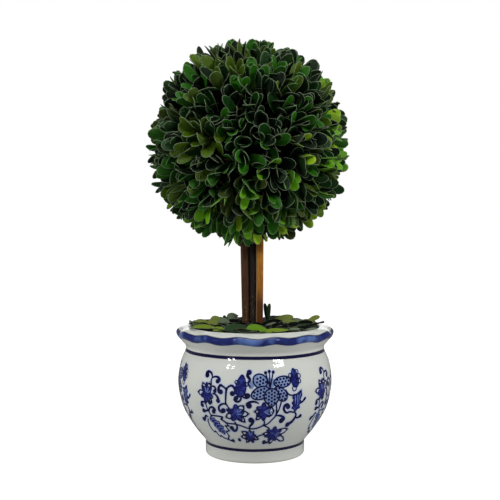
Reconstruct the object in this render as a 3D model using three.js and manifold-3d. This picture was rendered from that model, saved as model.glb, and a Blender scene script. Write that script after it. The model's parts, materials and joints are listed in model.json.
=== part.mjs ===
// Box topiary ball on three cut sticks, in a painted pot with a lobed rim.
// Millimetres, +Z up. The origin is the centre of the pot's flat underside, and the front is -Y.

import * as THREE from 'three';
import { mergeVertices } from 'three/addons/utils/BufferGeometryUtils.js';
import Module from 'manifold-3d';

const wasm = await Module();
wasm.setup();

// Clearance between pieces that touch
const GAP = 0.3;
const WELD = 1e-4;

// Pot: foot ring, wall and lip. A station is [radius, height].
const FOOT_RADIUS = 45.8;
const FOOT_HEIGHT = 13.6;
const FOOT_EDGE = 2.8;
const WALL_STATIONS = [
  [46.5, 14.2], [58.5, 30.0], [67.1, 46.2], [70.9, 67.4],
  [68.5, 86.2], [63.9, 98.8], [67.7, 105.4], [71.9, 110.2],
];
// The rim is thick and round: from its outer edge its top climbs inwards to the mouth
const LIP_STATIONS = [
  [72.5, 112.0], [72.0, 114.0], [70.2, 115.9], [67.4, 117.5], [64.0, 118.5], [60.9, 118.4], [59.2, 116.8],
];
const INSIDE_STATIONS = [
  [58.8, 112.2], [59.2, 99.7], [64.0, 85.2], [66.2, 68.2], [62.3, 46.7], [52.6, 29.2], [41.0, 14.0],
];
const FLOOR_HEIGHT = 8.0;
const WALL_STEPS = 12;
const INSIDE_STEPS = 8;

// Rim lobes: a crest stands at this bearing, counted from the front towards +X
const LOBES = 14;
const LOBE_CREST_DEG = 14;
const LOBE_RISE = 0.8;
const LOBE_REACH = 0.5;
const LOBE_START = 103.2;
const LOBE_FULL = 110.2;
// The lobes fade out over the rim's top, between these radii
const LOBE_FADE = [61.0, 70.0];
const SEGMENTS_PER_LOBE = 4;
const ROUND_SEGMENTS = LOBES * SEGMENTS_PER_LOBE;

// Dry foam that fills the pot, in from its wall by the pull
const FOAM_FOOT = 16.0;
const FOAM_TOP = 110.2;
const FOAM_PULL = 0.5;

// Sticks: the stem is three cut sticks side by side. Each has its middle line and radius at two heights.
const STICK_LOW = 121;
const STICK_HIGH = 195;
const STICK_FOOT = 86;
const STICK_TIP = 252;
const STICK_SIDES = 12;
const STICK_RINGS = 8;
const STICKS = {
  stick_left: { low: [-8.9, 0.0], high: [-9.9, 0.0], radius: [3.05, 3.5], color: 0x4a3528 },
  stick_middle: { low: [-2.55, 3.0], high: [-2.65, 3.2], radius: [3.55, 3.8], color: 0x26221f },
  stick_right: { low: [4.15, 0.0], high: [4.45, 0.0], radius: [3.25, 3.35], color: 0xb9781f },
};

// Leaf litter: a low heap on the foam, with loose leaves lying on it
const LITTER_EDGE = 111.8;
const LITTER_SHOULDER = 118.8;
const LITTER_CROWN = 123.2;
const LITTER_PULL = 1.2;
const LITTER_RADIUS = 57.5;
const LITTER_REACH = 64.5;
const LITTER_LEAVES = 48;
const LITTER_LIFT = 1.4;
const LITTER_TILT = [0.06, 0.3];
// A leaf that reaches past the mouth lies over the rim, above this height
const MOUTH_REACH = 58.2;
const OVER_RIM = 119.2;
const LITTER_LEAF = { length: 22, width: 9.5, thick: 1.6 };
// Leaves that stand up out of the heap: root, heading from +X, and steepness
const STANDING_LEAVES = [
  { root: [14.6, -1.0, 121.7], heading: 10, steep: 80, length: 18 },
  { root: [42.0, 4.0, 119.7], heading: 5, steep: 30, length: 19 },
];

// Foliage ball: a core, stems all round it by a spiral rule, and leaves in crossed pairs on each stem
const BALL_CENTRE = new THREE.Vector3(-6.4, 0, 288.2);
const BALL_RADIUS = 94.2;
const CORE_RADIUS = 75;
const CORE_DETAIL = 3;
const STEMS = 56;
const STEM_TILT = 0.2;
const STEM_SUNK = 5;
const STEM_TOP = 80;
const STEM_RADIUS = [2.6, 2.2];
// One row for each pair, from the stem's tip down: leaf length and width, its angle from the stem,
// and how far its tip lies inside the ball's outline
const PAIRS = [
  { length: 19, width: 15, spread: 30, inside: 0.3 },
  { length: 23, width: 16, spread: 48, inside: 2.0 },
  { length: 25, width: 16, spread: 66, inside: 5.5 },
];
// How much a leaf turns round its stem (radians), leans (degrees) and draws in (share of its row's inside)
const TURN_SPREAD = [-0.2, 0.2];
const LEAN_SPREAD = [-7, 7];
const INSIDE_SPREAD = [0.2, 1.8];
// A pair's roots stand this far to each side of the stem's middle line, inside the stem
const ROOT_OFFSET = 0.25;
const LEAF_THICK = 2.0;
const LEAF_WIDEST = 0.62;
const LIMB_MARGIN = 1.2;
const SEED = 20117;

// A small seeded generator, so each run grows the same plant
function makeRandom(seed) {
  let state = seed;
  return () => {
    state = (Math.imul(state, 1664525) + 1013904223) >>> 0;
    return state / 4294967296;
  };
}

function between([low, high], share) {
  return low + (high - low) * share;
}

// Geometry with only its positions, shared vertices merged and triangles closed up at a pole left out
function weld(geometry) {
  const bare = geometry.clone();
  bare.deleteAttribute('normal');
  bare.deleteAttribute('uv');
  const merged = mergeVertices(bare, WELD);
  const index = merged.index.array;
  const kept = [];
  for (let i = 0; i < index.length; i += 3) {
    const [a, b, c] = [index[i], index[i + 1], index[i + 2]];
    if (a !== b && b !== c && c !== a) kept.push(a, b, c);
  }
  merged.setIndex(kept);
  return merged;
}

// Moves every vertex of a geometry by a rule
function reshape(geometry, rule) {
  const position = geometry.attributes.position;
  const point = new THREE.Vector3();
  for (let i = 0; i < position.count; i++) {
    point.fromBufferAttribute(position, i);
    rule(point);
    position.setXYZ(i, point.x, point.y, point.z);
  }
  return geometry;
}

function toSolid(geometry) {
  const bare = weld(geometry);
  const vertProperties = new Float32Array(bare.attributes.position.array);
  const triVerts = new Uint32Array(bare.index.array);
  return new wasm.Manifold(new wasm.Mesh({ numProp: 3, vertProperties, triVerts }));
}

function fuse(geometries) {
  return geometries.map(toSolid).reduce((whole, next) => whole.add(next));
}

// Labels each vertex with the body it belongs to, and gives back the label finder
function findBodies(triangles, vertexCount) {
  const parent = Uint32Array.from({ length: vertexCount }, (_, i) => i);
  const find = (v) => {
    while (parent[v] !== v) {
      parent[v] = parent[parent[v]];
      v = parent[v];
    }
    return v;
  };
  for (let i = 0; i < triangles.length; i += 3) {
    parent[find(triangles[i])] = find(triangles[i + 1]);
    parent[find(triangles[i + 1])] = find(triangles[i + 2]);
  }
  return find;
}

// The largest body of a solid: sealed hollows are filled and loose scraps dropped
function mainBody(solid) {
  const mesh = solid.getMesh();
  const find = findBodies(mesh.triVerts, mesh.vertProperties.length / 3);
  const sizes = new Map();
  for (let i = 0; i < mesh.triVerts.length; i += 3) {
    const body = find(mesh.triVerts[i]);
    sizes.set(body, (sizes.get(body) ?? 0) + 1);
  }
  const [largest] = [...sizes.entries()].sort((a, b) => b[1] - a[1])[0];
  const index = [];
  for (let i = 0; i < mesh.triVerts.length; i += 3) {
    if (find(mesh.triVerts[i]) === largest) {
      index.push(mesh.triVerts[i], mesh.triVerts[i + 1], mesh.triVerts[i + 2]);
    }
  }
  const geometry = new THREE.BufferGeometry();
  geometry.setAttribute('position', new THREE.BufferAttribute(mesh.vertProperties, 3));
  geometry.setIndex(index);
  return geometry;
}

// Points along a spline through [radius, height] stations
function splinePoints(stations, steps) {
  const curve = new THREE.SplineCurve(stations.map(([r, z]) => new THREE.Vector2(r, z)));
  return curve.getPoints(steps);
}

// A turned solid about +Z from a profile of [radius, height] points that starts and ends on the axis
function turned(profile, segments) {
  return weld(new THREE.LatheGeometry(profile, segments).rotateX(Math.PI / 2));
}

function finish(color, roughness) {
  return new THREE.MeshStandardMaterial({ color, roughness, metalness: 0 });
}

function named(name, geometry, material) {
  geometry.computeVertexNormals();
  const mesh = new THREE.Mesh(geometry, material);
  mesh.name = name;
  return mesh;
}

// Pot

function footPoints() {
  const points = [new THREE.Vector2(0, 0)];
  const edgeSteps = 3;
  for (let i = 0; i <= edgeSteps; i++) {
    const turn = (i / edgeSteps) * (Math.PI / 2);
    const radius = FOOT_RADIUS - FOOT_EDGE + FOOT_EDGE * Math.sin(turn);
    points.push(new THREE.Vector2(radius, FOOT_EDGE - FOOT_EDGE * Math.cos(turn)));
  }
  points.push(new THREE.Vector2(FOOT_RADIUS, FOOT_HEIGHT));
  return points;
}

function insidePoints() {
  return splinePoints(INSIDE_STATIONS, INSIDE_STEPS);
}

// Raises and widens the rim into lobes, more and more from the neck up, and less towards the mouth
function lobeRim(point) {
  const radius = Math.hypot(point.x, point.y);
  const climb = THREE.MathUtils.smoothstep(point.z, LOBE_START, LOBE_FULL);
  const strength = climb * THREE.MathUtils.smoothstep(radius, ...LOBE_FADE);
  const bearing = Math.atan2(point.x, -point.y);
  const wave = Math.cos(LOBES * (bearing - THREE.MathUtils.degToRad(LOBE_CREST_DEG)));
  const stretch = radius > 0 ? 1 + (LOBE_REACH * wave * strength) / radius : 1;
  point.set(point.x * stretch, point.y * stretch, point.z + LOBE_RISE * wave * strength);
}

function makePot() {
  const lip = LIP_STATIONS.map(([r, z]) => new THREE.Vector2(r, z));
  const inside = [...insidePoints(), new THREE.Vector2(0, FLOOR_HEIGHT)];
  const profile = [...footPoints(), ...splinePoints(WALL_STATIONS, WALL_STEPS), ...lip, ...inside];
  const geometry = reshape(turned(profile, ROUND_SEGMENTS), lobeRim);
  return named('pot', geometry, finish(0xdcdcd2, 0.15));
}

// Radius of the pot's inside at a height, along the straight facets between its points
function insideRadius(height) {
  const points = insidePoints();
  const k = points.findIndex(({ y }) => y <= height);
  const [upper, lower] = [points[k - 1], points[k]];
  return THREE.MathUtils.mapLinear(height, lower.y, upper.y, lower.x, upper.x);
}

// Outline of a filling between two heights: the pot's inside, pulled in
function fillingPoints(low, high, pull) {
  const levels = insidePoints().map(({ y }) => y).filter((y) => y > low && y < high).reverse();
  const wall = [low, ...levels, high].map((y) => new THREE.Vector2(insideRadius(y) - pull, y));
  return [new THREE.Vector2(0, low), ...wall];
}

// Sticks

function stickLine(stick, height) {
  const t = (height - STICK_LOW) / (STICK_HIGH - STICK_LOW);
  return {
    x: THREE.MathUtils.lerp(stick.low[0], stick.high[0], t),
    y: THREE.MathUtils.lerp(stick.low[1], stick.high[1], t),
    radius: THREE.MathUtils.lerp(stick.radius[0], stick.radius[1], t),
  };
}

// A tapered, leaning stick with flat cut ends, grown all round by a clearance
function stickGeometry(stick, clearance = 0) {
  const low = STICK_FOOT - clearance;
  const high = STICK_TIP + clearance;
  const round = new THREE.CylinderGeometry(1, 1, high - low, STICK_SIDES, STICK_RINGS);
  round.rotateX(Math.PI / 2).translate(0, 0, (low + high) / 2);
  return reshape(weld(round), (point) => {
    const line = stickLine(stick, point.z);
    const radius = line.radius + clearance;
    point.set(line.x + point.x * radius, line.y + point.y * radius, point.z);
  });
}

function makeSticks() {
  return Object.entries(STICKS).map(([name, stick]) =>
    named(name, stickGeometry(stick), finish(stick.color, 0.7)));
}

function stickSockets() {
  return fuse(Object.values(STICKS).map((stick) => stickGeometry(stick, GAP)));
}

// Whether a point is nearer to a stick than a margin
function touchesStick(point, margin) {
  return Object.values(STICKS).some((stick) => {
    const line = stickLine(stick, Math.min(point.z, STICK_TIP));
    return Math.hypot(point.x - line.x, point.y - line.y) < line.radius + margin;
  });
}

// Leaves

// A leaf of eight faces: it runs along +Y from its root, lies in the XY plane and faces +Z
function leafGeometry({ length, width, thick }) {
  return reshape(weld(new THREE.OctahedronGeometry(1)), (point) => {
    const along = point.y > 0.5 ? 1 : point.y < -0.5 ? 0 : LEAF_WIDEST;
    point.set((point.x * width) / 2, along * length, (point.z * thick) / 2);
  });
}

// Places a leaf by its root, the direction it runs in and the way its face looks
function placeLeaf(leaf, root, direction, facing) {
  const across = new THREE.Vector3().crossVectors(direction, facing).normalize();
  const normal = new THREE.Vector3().crossVectors(across, direction).normalize();
  const basis = new THREE.Matrix4().makeBasis(across, direction.clone().normalize(), normal);
  return leafGeometry(leaf).applyMatrix4(basis.setPosition(root));
}

// A placed leaf's corners, to test how far it reaches
function leafCorners({ attributes: { position } }) {
  const corner = (_, i) => new THREE.Vector3().fromBufferAttribute(position, i);
  return Array.from({ length: position.count }, corner);
}

// Leaf litter

function litterHeight(radius) {
  const t = Math.min(radius / LITTER_RADIUS, 1);
  return THREE.MathUtils.lerp(LITTER_CROWN, LITTER_SHOULDER, t * t);
}

function litterBed() {
  const edge = fillingPoints(FOAM_TOP + GAP, LITTER_EDGE, LITTER_PULL);
  const domeSteps = 4;
  const dome = [];
  for (let i = domeSteps; i >= 0; i--) {
    const radius = (LITTER_RADIUS * i) / domeSteps;
    dome.push(new THREE.Vector2(radius, litterHeight(radius)));
  }
  return turned([...edge, ...dome], ROUND_SEGMENTS / 2);
}

function slopingDirection(heading, steep) {
  const level = Math.cos(steep);
  return new THREE.Vector3(Math.cos(heading) * level, Math.sin(heading) * level, Math.sin(steep));
}

function lyingLeaf(i, random) {
  const golden = Math.PI * (3 - Math.sqrt(5));
  const radius = (LITTER_RADIUS - 5) * Math.sqrt((i + 0.5) / LITTER_LEAVES);
  const bearing = i * golden + random() * 0.5;
  const direction = slopingDirection(random() * 2 * Math.PI, between(LITTER_TILT, random()));
  const middle = new THREE.Vector3(radius * Math.cos(bearing), radius * Math.sin(bearing), 0);
  middle.z = litterHeight(radius) + LITTER_LIFT;
  const root = middle.addScaledVector(direction, -LITTER_LEAF.length * 0.4);
  return placeLeaf(LITTER_LEAF, root, direction, new THREE.Vector3(random() - 0.5, random() - 0.5, 2));
}

function standingLeaf({ root, heading, steep, length }) {
  const [turn, rise] = [heading, steep].map(THREE.MathUtils.degToRad);
  const direction = slopingDirection(turn, rise);
  const forward = new THREE.Vector3(0, -1, 0.2);
  return placeLeaf({ ...LITTER_LEAF, length }, new THREE.Vector3(...root), direction, forward);
}

// Whether a leaf's corner is inside the mouth or over the rim, and away from the sticks
function hasRoom(point) {
  const radius = Math.hypot(point.x, point.y);
  const clear = radius < MOUTH_REACH || (radius < LITTER_REACH && point.z > OVER_RIM);
  return clear && !touchesStick(point, LIMB_MARGIN);
}

function litterLeaves() {
  const random = makeRandom(SEED);
  const lying = Array.from({ length: LITTER_LEAVES }, (_, i) => lyingLeaf(i, random));
  return [...lying, ...STANDING_LEAVES.map(standingLeaf)].filter((leaf) => leafCorners(leaf).every(hasRoom));
}

function makeLitter(sockets) {
  const solid = fuse([litterBed(), ...litterLeaves()]).subtract(sockets);
  return named('leaf_litter', mainBody(solid), finish(0x4d6a24, 0.8));
}

function makeFoam(sockets) {
  const outline = [...fillingPoints(FOAM_FOOT, FOAM_TOP, FOAM_PULL), new THREE.Vector2(0, FOAM_TOP)];
  const solid = toSolid(turned(outline, ROUND_SEGMENTS / 2)).subtract(sockets);
  return named('potting_foam', mainBody(solid), finish(0x3c4a2c, 0.95));
}

// Foliage ball

// Evenly spread directions on a spiral over the sphere
function spiralDirection(i, count) {
  const height = 1 - (2 * (i + 0.5)) / count;
  const ring = Math.sqrt(1 - height * height);
  const turn = i * Math.PI * (3 - Math.sqrt(5));
  return new THREE.Vector3(ring * Math.cos(turn), ring * Math.sin(turn), height);
}

function ballPoint(direction, radius) {
  return BALL_CENTRE.clone().addScaledVector(direction, radius);
}

// A three-sided tapering stem between two points
function stemGeometry(start, end) {
  const line = new THREE.Vector3().subVectors(end, start);
  const stem = new THREE.CylinderGeometry(STEM_RADIUS[1], STEM_RADIUS[0], line.length(), 3);
  const upright = new THREE.Vector3(0, 1, 0);
  const turn = new THREE.Quaternion().setFromUnitVectors(upright, line.clone().normalize());
  stem.applyQuaternion(turn);
  const middle = start.clone().add(end).multiplyScalar(0.5);
  return weld(stem.translate(middle.x, middle.y, middle.z));
}

// How high on its stem a leaf roots, so that its tip ends at a given distance from the ball's centre
function rootHeight(length, lean, reach) {
  return Math.sqrt(reach ** 2 - (length * Math.sin(lean)) ** 2) - length * Math.cos(lean);
}

// Leaves in crossed pairs on one stem, the upper ones steep and the lower ones spread wide
function sprigLeaves(axis, random) {
  const side = new THREE.Vector3(axis.y, axis.z, axis.x).cross(axis).normalize();
  const first = random() * 2 * Math.PI;
  const leaves = [];
  PAIRS.forEach(({ length, width, spread, inside }, pair) => {
    for (const half of [0, 1]) {
      const bearing = first + pair * (Math.PI / 2) + half * Math.PI + between(TURN_SPREAD, random());
      const outward = side.clone().applyAxisAngle(axis, bearing);
      const lean = THREE.MathUtils.degToRad(spread + between(LEAN_SPREAD, random()));
      const direction = axis.clone().multiplyScalar(Math.cos(lean)).addScaledVector(outward, Math.sin(lean));
      const facing = axis.clone().multiplyScalar(Math.sin(lean)).addScaledVector(outward, -Math.cos(lean));
      const reach = BALL_RADIUS - inside * between(INSIDE_SPREAD, random());
      const root = ballPoint(axis, rootHeight(length, lean, reach)).addScaledVector(outward, ROOT_OFFSET);
      leaves.push(placeLeaf({ length, width, thick: LEAF_THICK }, root, direction, facing));
    }
  });
  return leaves;
}

function staysInBall(leaf) {
  return leafCorners(leaf).every((p) => p.distanceTo(BALL_CENTRE) <= BALL_RADIUS + 1);
}

function sprigs() {
  const random = makeRandom(SEED);
  const pieces = [];
  for (let i = 0; i < STEMS; i++) {
    const jitter = new THREE.Vector3(random() - 0.5, random() - 0.5, random() - 0.5);
    const axis = spiralDirection(i, STEMS).addScaledVector(jitter, STEM_TILT).normalize();
    const start = ballPoint(axis, CORE_RADIUS - STEM_SUNK);
    const end = ballPoint(axis, STEM_TOP);
    if (touchesStick(end, LIMB_MARGIN + STEM_RADIUS[0]) && end.z < BALL_CENTRE.z) continue;
    pieces.push(stemGeometry(start, end));
    for (const leaf of sprigLeaves(axis, random)) {
      const low = leafCorners(leaf).some((p) => p.z < BALL_CENTRE.z && touchesStick(p, LIMB_MARGIN));
      if (!low && staysInBall(leaf)) pieces.push(leaf);
    }
  }
  return pieces;
}

function makeFoliage(sockets) {
  const core = new THREE.IcosahedronGeometry(CORE_RADIUS, CORE_DETAIL);
  core.translate(BALL_CENTRE.x, BALL_CENTRE.y, BALL_CENTRE.z);
  const solid = fuse([core, ...sprigs()]).subtract(sockets);
  return named('foliage_ball', mainBody(solid), finish(0x2c5218, 0.6));
}

const sockets = stickSockets();
const topiary = new THREE.Group();
topiary.name = 'box_topiary_ball';
topiary.add(makePot(), makeFoam(sockets), ...makeSticks(), makeLitter(sockets), makeFoliage(sockets));

export default topiary;
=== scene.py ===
# %% [markdown]
# # A box topiary ball in a painted pot
#
# The plant is a clipped ball of preserved box leaves on three cut sticks. It stands in a round
# ceramic pot with a wavy rim and blue brushwork, and loose leaves lie round the sticks.
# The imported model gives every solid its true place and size, in metres. This lesson dresses
# those solids: each cell makes one piece or one finish and prints what it made.

import json
import math
from functools import partial

import bpy
import numpy as np
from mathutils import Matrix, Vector

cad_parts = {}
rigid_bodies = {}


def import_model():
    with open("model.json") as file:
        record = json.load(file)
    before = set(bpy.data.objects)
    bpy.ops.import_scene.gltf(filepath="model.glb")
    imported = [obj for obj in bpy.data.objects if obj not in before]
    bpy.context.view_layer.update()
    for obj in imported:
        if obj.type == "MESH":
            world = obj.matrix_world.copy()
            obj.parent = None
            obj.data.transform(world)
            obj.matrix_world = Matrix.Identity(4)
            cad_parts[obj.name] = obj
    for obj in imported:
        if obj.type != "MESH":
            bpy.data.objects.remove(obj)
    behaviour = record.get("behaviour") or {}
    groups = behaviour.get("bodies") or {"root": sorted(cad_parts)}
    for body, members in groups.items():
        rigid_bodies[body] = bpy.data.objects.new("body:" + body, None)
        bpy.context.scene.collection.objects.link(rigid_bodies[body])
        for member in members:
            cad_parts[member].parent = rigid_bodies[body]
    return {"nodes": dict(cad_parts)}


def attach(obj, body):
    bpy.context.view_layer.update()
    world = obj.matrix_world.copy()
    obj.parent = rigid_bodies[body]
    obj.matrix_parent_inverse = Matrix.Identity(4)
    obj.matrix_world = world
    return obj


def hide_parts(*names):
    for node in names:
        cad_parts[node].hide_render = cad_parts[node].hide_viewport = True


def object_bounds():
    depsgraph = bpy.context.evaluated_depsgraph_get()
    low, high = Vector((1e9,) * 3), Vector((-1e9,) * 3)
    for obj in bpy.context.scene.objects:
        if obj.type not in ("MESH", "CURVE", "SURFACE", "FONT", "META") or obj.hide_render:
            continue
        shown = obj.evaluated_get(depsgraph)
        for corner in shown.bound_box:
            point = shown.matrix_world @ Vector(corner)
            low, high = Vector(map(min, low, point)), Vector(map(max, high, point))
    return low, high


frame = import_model()
cad_low, cad_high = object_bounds()
print("nodes:", sorted(frame["nodes"]))
print("CAD box in mm:", [round(1000 * v, 1) for v in (*cad_low, *cad_high)])

# %% [markdown]
# ## Shared tools
#
# Finishes are trees of small nodes, and a few helpers keep each tree short. Measures are in
# millimetres, and a piece is scaled to metres when its mesh is made.

# %% Nodes
MM = 0.001
METRE = 1000.0
scene = bpy.context.scene


def set_inputs(node, inputs):
    """Sets a node's inputs, by place or by name, to values or to other nodes' sockets."""
    for key, value in inputs.items() if isinstance(inputs, dict) else enumerate(inputs):
        if isinstance(value, bpy.types.NodeSocket):
            node.id_data.links.new(value, node.inputs[key])
        else:
            node.inputs[key].default_value = value


def add_node(tree, kind, inputs=(), **settings):
    """Adds a node to a shader or geometry tree and gives back its outputs."""
    made = tree.nodes.new(kind)
    for name, value in settings.items():
        setattr(made, name, value)
    set_inputs(made, inputs)
    return made.outputs


def calculate(tree, operation, *values):
    """The result of one Math node, from numbers or sockets."""
    return add_node(tree, "ShaderNodeMath", values, operation=operation)[0]


def spread(tree, value, low, high, start=0.0, end=1.0, **settings):
    """A value between low and high, spread from start to end and cut off there."""
    return add_node(tree, "ShaderNodeMapRange", [value, low, high, start, end], **settings)[0]


def object_place(tree):
    """The place of a point in the object's own space, in metres."""
    return add_node(tree, "ShaderNodeTexCoord")["Object"]


def noise(tree, scale, detail, place=None, roughness=0.5):
    """A noise between 0 and 1, with its scale in lumps per metre."""
    place = object_place(tree) if place is None else place
    inputs = {"Vector": place, "Scale": scale, "Detail": detail, "Roughness": roughness}
    return add_node(tree, "ShaderNodeTexNoise", inputs)["Fac"]


def mix_colours(tree, share, first, second):
    """A colour mixed from two, by a number or a mask."""
    inputs = {"Factor": share, "A": first, "B": second}
    return add_node(tree, "ShaderNodeMix", inputs, data_type="RGBA")["Result"]


# %% Groups and finishes
NUMBER, COLOUR = "NodeSocketFloat", "NodeSocketColor"


def new_group(name, inputs, results):
    """A shader node group with named sockets: its tree, what comes in and its closing node."""
    tree = bpy.data.node_groups.new(name, "ShaderNodeTree")
    for label, value in inputs.items():
        kind = NUMBER if isinstance(value, float) else COLOUR
        tree.interface.new_socket(label, in_out="INPUT", socket_type=kind).default_value = value
    for label, kind in results.items():
        tree.interface.new_socket(label, in_out="OUTPUT", socket_type=kind)
    return tree, tree.nodes.new("NodeGroupInput").outputs, tree.nodes.new("NodeGroupOutput")


def group_node(tree, group, **values):
    """Places a shader group with its values, given by socket name with _ for a space."""
    inputs = {name.replace("_", " ").title(): value for name, value in values.items()}
    return add_node(tree, "ShaderNodeGroup", inputs, node_tree=group)


def paint(red, green, blue):
    """A colour as read off a screen, 0 to 255, turned into the linear values that shaders use."""
    share = [v / 255 for v in (red, green, blue)]
    linear = [v / 12.92 if v <= 0.04045 else ((v + 0.055) / 1.055) ** 2.4 for v in share]
    return (*linear, 1.0)


def new_material(name):
    """An empty material and its tree, with the shader node that the cells set up."""
    material = bpy.data.materials.new(name)
    material.use_nodes = True
    return material, material.node_tree, material.node_tree.nodes["Principled BSDF"]


def set_finish(shader, colour, roughness, shine=0.5, relief=None):
    """Sets a finish. A relief is its height, its strength and its depth in mm."""
    set_inputs(shader, {"Base Color": colour, "Roughness": roughness, "Specular IOR Level": shine})
    if relief:
        height, strength, depth = relief
        inputs = {"Strength": strength, "Distance": depth * MM, "Height": height}
        set_inputs(shader, {"Normal": add_node(shader.id_data, "ShaderNodeBump", inputs)[0]})


def grainy_material(name, scale, dark, light, roughness, shine=0.5, relief=None):
    """A finish in grains of two colours, with the strength and depth of a relief if it has one."""
    material, tree, shader = new_material(name)
    grain = noise(tree, scale, 4.0)
    colour = mix_colours(tree, grain, dark, light)
    set_finish(shader, colour, roughness, shine, relief and (grain, *relief))
    return material


# %% Meshes and pieces
def add_object(name, data):
    """Puts a mesh, a light or a camera into the scene."""
    made = bpy.data.objects.new(name, data)
    scene.collection.objects.link(made)
    return made


def new_piece(name, points, faces, material):
    """A smooth mesh object in one finish, from points in mm."""
    mesh = bpy.data.meshes.new(name)
    mesh.from_pydata((np.asarray(points, float) * MM).tolist(), [], faces)
    mesh.validate()
    mesh.materials.append(material)
    mesh.shade_smooth()
    return add_object(name, mesh)


def place_piece(piece, slot, *replaced):
    """Puts a finished piece on the plant's one body, with the solids it stands for hidden. Its slot is not
    used.
    """
    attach(piece, "root")
    if replaced:
        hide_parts(*replaced)
    triangles = sum(len(p.vertices) - 2 for p in piece.data.polygons)
    print(f"{piece.name}: {triangles} triangles")


# %% [markdown]
# ## Camera and light
#
# The photograph was taken from a little above the pot's rim with a long lens, so the camera
# stands almost a metre away and looks down by two and a half degrees. A product photo like this
# has white on all sides and two windows or soft boxes in front, which leave small bright marks on
# the glaze. Small area lights give those marks, and a large one overhead gives the soft light.

# %% Camera
CAMERA_PLACE = (-4.6, -925.0, 227.1)
CAMERA_DIP_DEG = 2.39
LENS_MM = 72.0
SENSOR_MM = 36.0

camera_data = bpy.data.cameras.new("photo_camera")
camera_data.lens = LENS_MM
camera_data.sensor_width = SENSOR_MM
camera = add_object("photo_camera", camera_data)
camera.location = [v * MM for v in CAMERA_PLACE]
camera.rotation_euler = (math.radians(90 - CAMERA_DIP_DEG), 0, 0)
scene.camera = camera
scene.view_settings.view_transform = "Standard"
print("camera at", tuple(round(v, 4) for v in camera.location))

# %% Studio light
PLANT_MIDDLE = (0, 0, 150)
SHOULDER_MARK = (22.0, 62.0, 92.0)
WINDOW_DISTANCE = 1300.0
WINDOW_AIM = (0.57, -0.655, 0.496)
PANE = (80.0, 80.0)
PANE_GAP = 100.0
PANE_WATTS = 1.0
RIGHT_WINDOW = (370.0, 130.0)
RIGHT_WATTS = 7.0
RIGHT_RISE = 110.0
WIDE = (900.0, 900.0)
TOP_WATTS = 7.2
SIDE_WINDOW = (800.0, 900.0)
SIDE_WATTS = {-1: 8.8, 1: 5.3}
BACK_WATTS = 3.0


def soft_light(name, place, size, watts, target=PLANT_MIDDLE):
    """An area light at a place in mm that looks at a target."""
    data = bpy.data.lights.new(name, "AREA")
    data.shape = "RECTANGLE"
    data.size, data.size_y = [s * MM for s in size]
    data.energy = watts
    light = add_object(name, data)
    light.location = [v * MM for v in place]
    light.rotation_mode = "QUATERNION"
    light.rotation_quaternion = Vector(np.subtract(target, place)).to_track_quat("-Z", "Y")
    return light


def window_place(side, across=0.0, up=0.0):
    """The middle of a window in front of the pot, to one side, moved across and up from there."""
    aim = np.array(WINDOW_AIM) * (side, 1, 1)
    level = np.array([-aim[1], aim[0], 0.0])
    level /= np.linalg.norm(level)
    rise = np.cross(aim, level)
    rise *= np.sign(rise[2])
    mark = np.array([side * SHOULDER_MARK[0], -SHOULDER_MARK[1], SHOULDER_MARK[2]])
    return mark + aim * WINDOW_DISTANCE + level * across + rise * up


for row in (-1, 1):
    for column in (-1, 1):
        shift_across = column * (PANE[0] + PANE_GAP) / 2
        shift_up = row * (PANE[1] + PANE_GAP) / 2
        soft_light(f"left_pane_{row}_{column}", window_place(-1, shift_across, shift_up), PANE, PANE_WATTS)
soft_light("right_window", window_place(1, up=RIGHT_RISE), RIGHT_WINDOW, RIGHT_WATTS)
soft_light("top_light", (0, -250, 1350), WIDE, TOP_WATTS, (0, 0, 200))
for side, watts in SIDE_WATTS.items():
    side_light = soft_light(f"side_light_{side}", (side * 1250, 60, 260), SIDE_WINDOW, watts)
    side_light.visible_glossy = False
soft_light("back_light", (0, 1250, 500), WIDE, BACK_WATTS, (0, 0, 180))
print("lights:", len(bpy.data.lights))

# %% [markdown]
# A white world lights the plant from all round. The camera sees it brighter than the plant does,
# so the background stays white while the shadows between the leaves stay deep.

# %% World and floor
WORLD_LIGHT = 0.05
WORLD_MIRRORED = 0.18
WORLD_SEEN = 1.0
WHITE = (1, 1, 1, 1)
FLOOR_SIDE = 12000.0
FLOOR_GREY = (0.1, 0.1, 0.1, 1)
FLOOR_GLOW = {"Is Camera Ray": 1.0, "Is Glossy Ray": 0.1, "Is Diffuse Ray": 0.34}

world = bpy.data.worlds.new("white_studio")
scene.world = world
world.use_nodes = True
tree = world.node_tree
tree.nodes.clear()
rays = add_node(tree, "ShaderNodeLightPath")
mirrored = calculate(tree, "MULTIPLY", rays["Is Glossy Ray"], WORLD_MIRRORED - WORLD_LIGHT)
strength = calculate(tree, "ADD", mirrored, WORLD_LIGHT)
lit = add_node(tree, "ShaderNodeBackground", {"Color": WHITE, "Strength": strength})[0]
seen = add_node(tree, "ShaderNodeBackground", {"Color": WHITE, "Strength": WORLD_SEEN})[0]
both = add_node(tree, "ShaderNodeMixShader", [rays["Is Camera Ray"], lit, seen])[0]
add_node(tree, "ShaderNodeOutputWorld", [both])

floor_paint, tree, shader = new_material("white_floor")
rays = add_node(tree, "ShaderNodeLightPath")
glow = 0.0
for ray, strength in FLOOR_GLOW.items():
    glow = calculate(tree, "ADD", glow, calculate(tree, "MULTIPLY", rays[ray], strength))
set_finish(shader, FLOOR_GREY, 0.8)
set_inputs(shader, {"Emission Color": WHITE, "Emission Strength": glow})
half = FLOOR_SIDE / 2
corners = [(-half, -half, 0), (half, -half, 0), (half, half, 0), (-half, half, 0)]
floor = new_piece("floor", corners, [(0, 1, 2, 3)], floor_paint)

# %% [markdown]
# ## Curves and turned shapes
#
# Curves in this lesson run through stations: a few named points that the eye can check against
# the real thing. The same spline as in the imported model's source runs through them, so a turned
# surface here lies where the solid lies.


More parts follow.
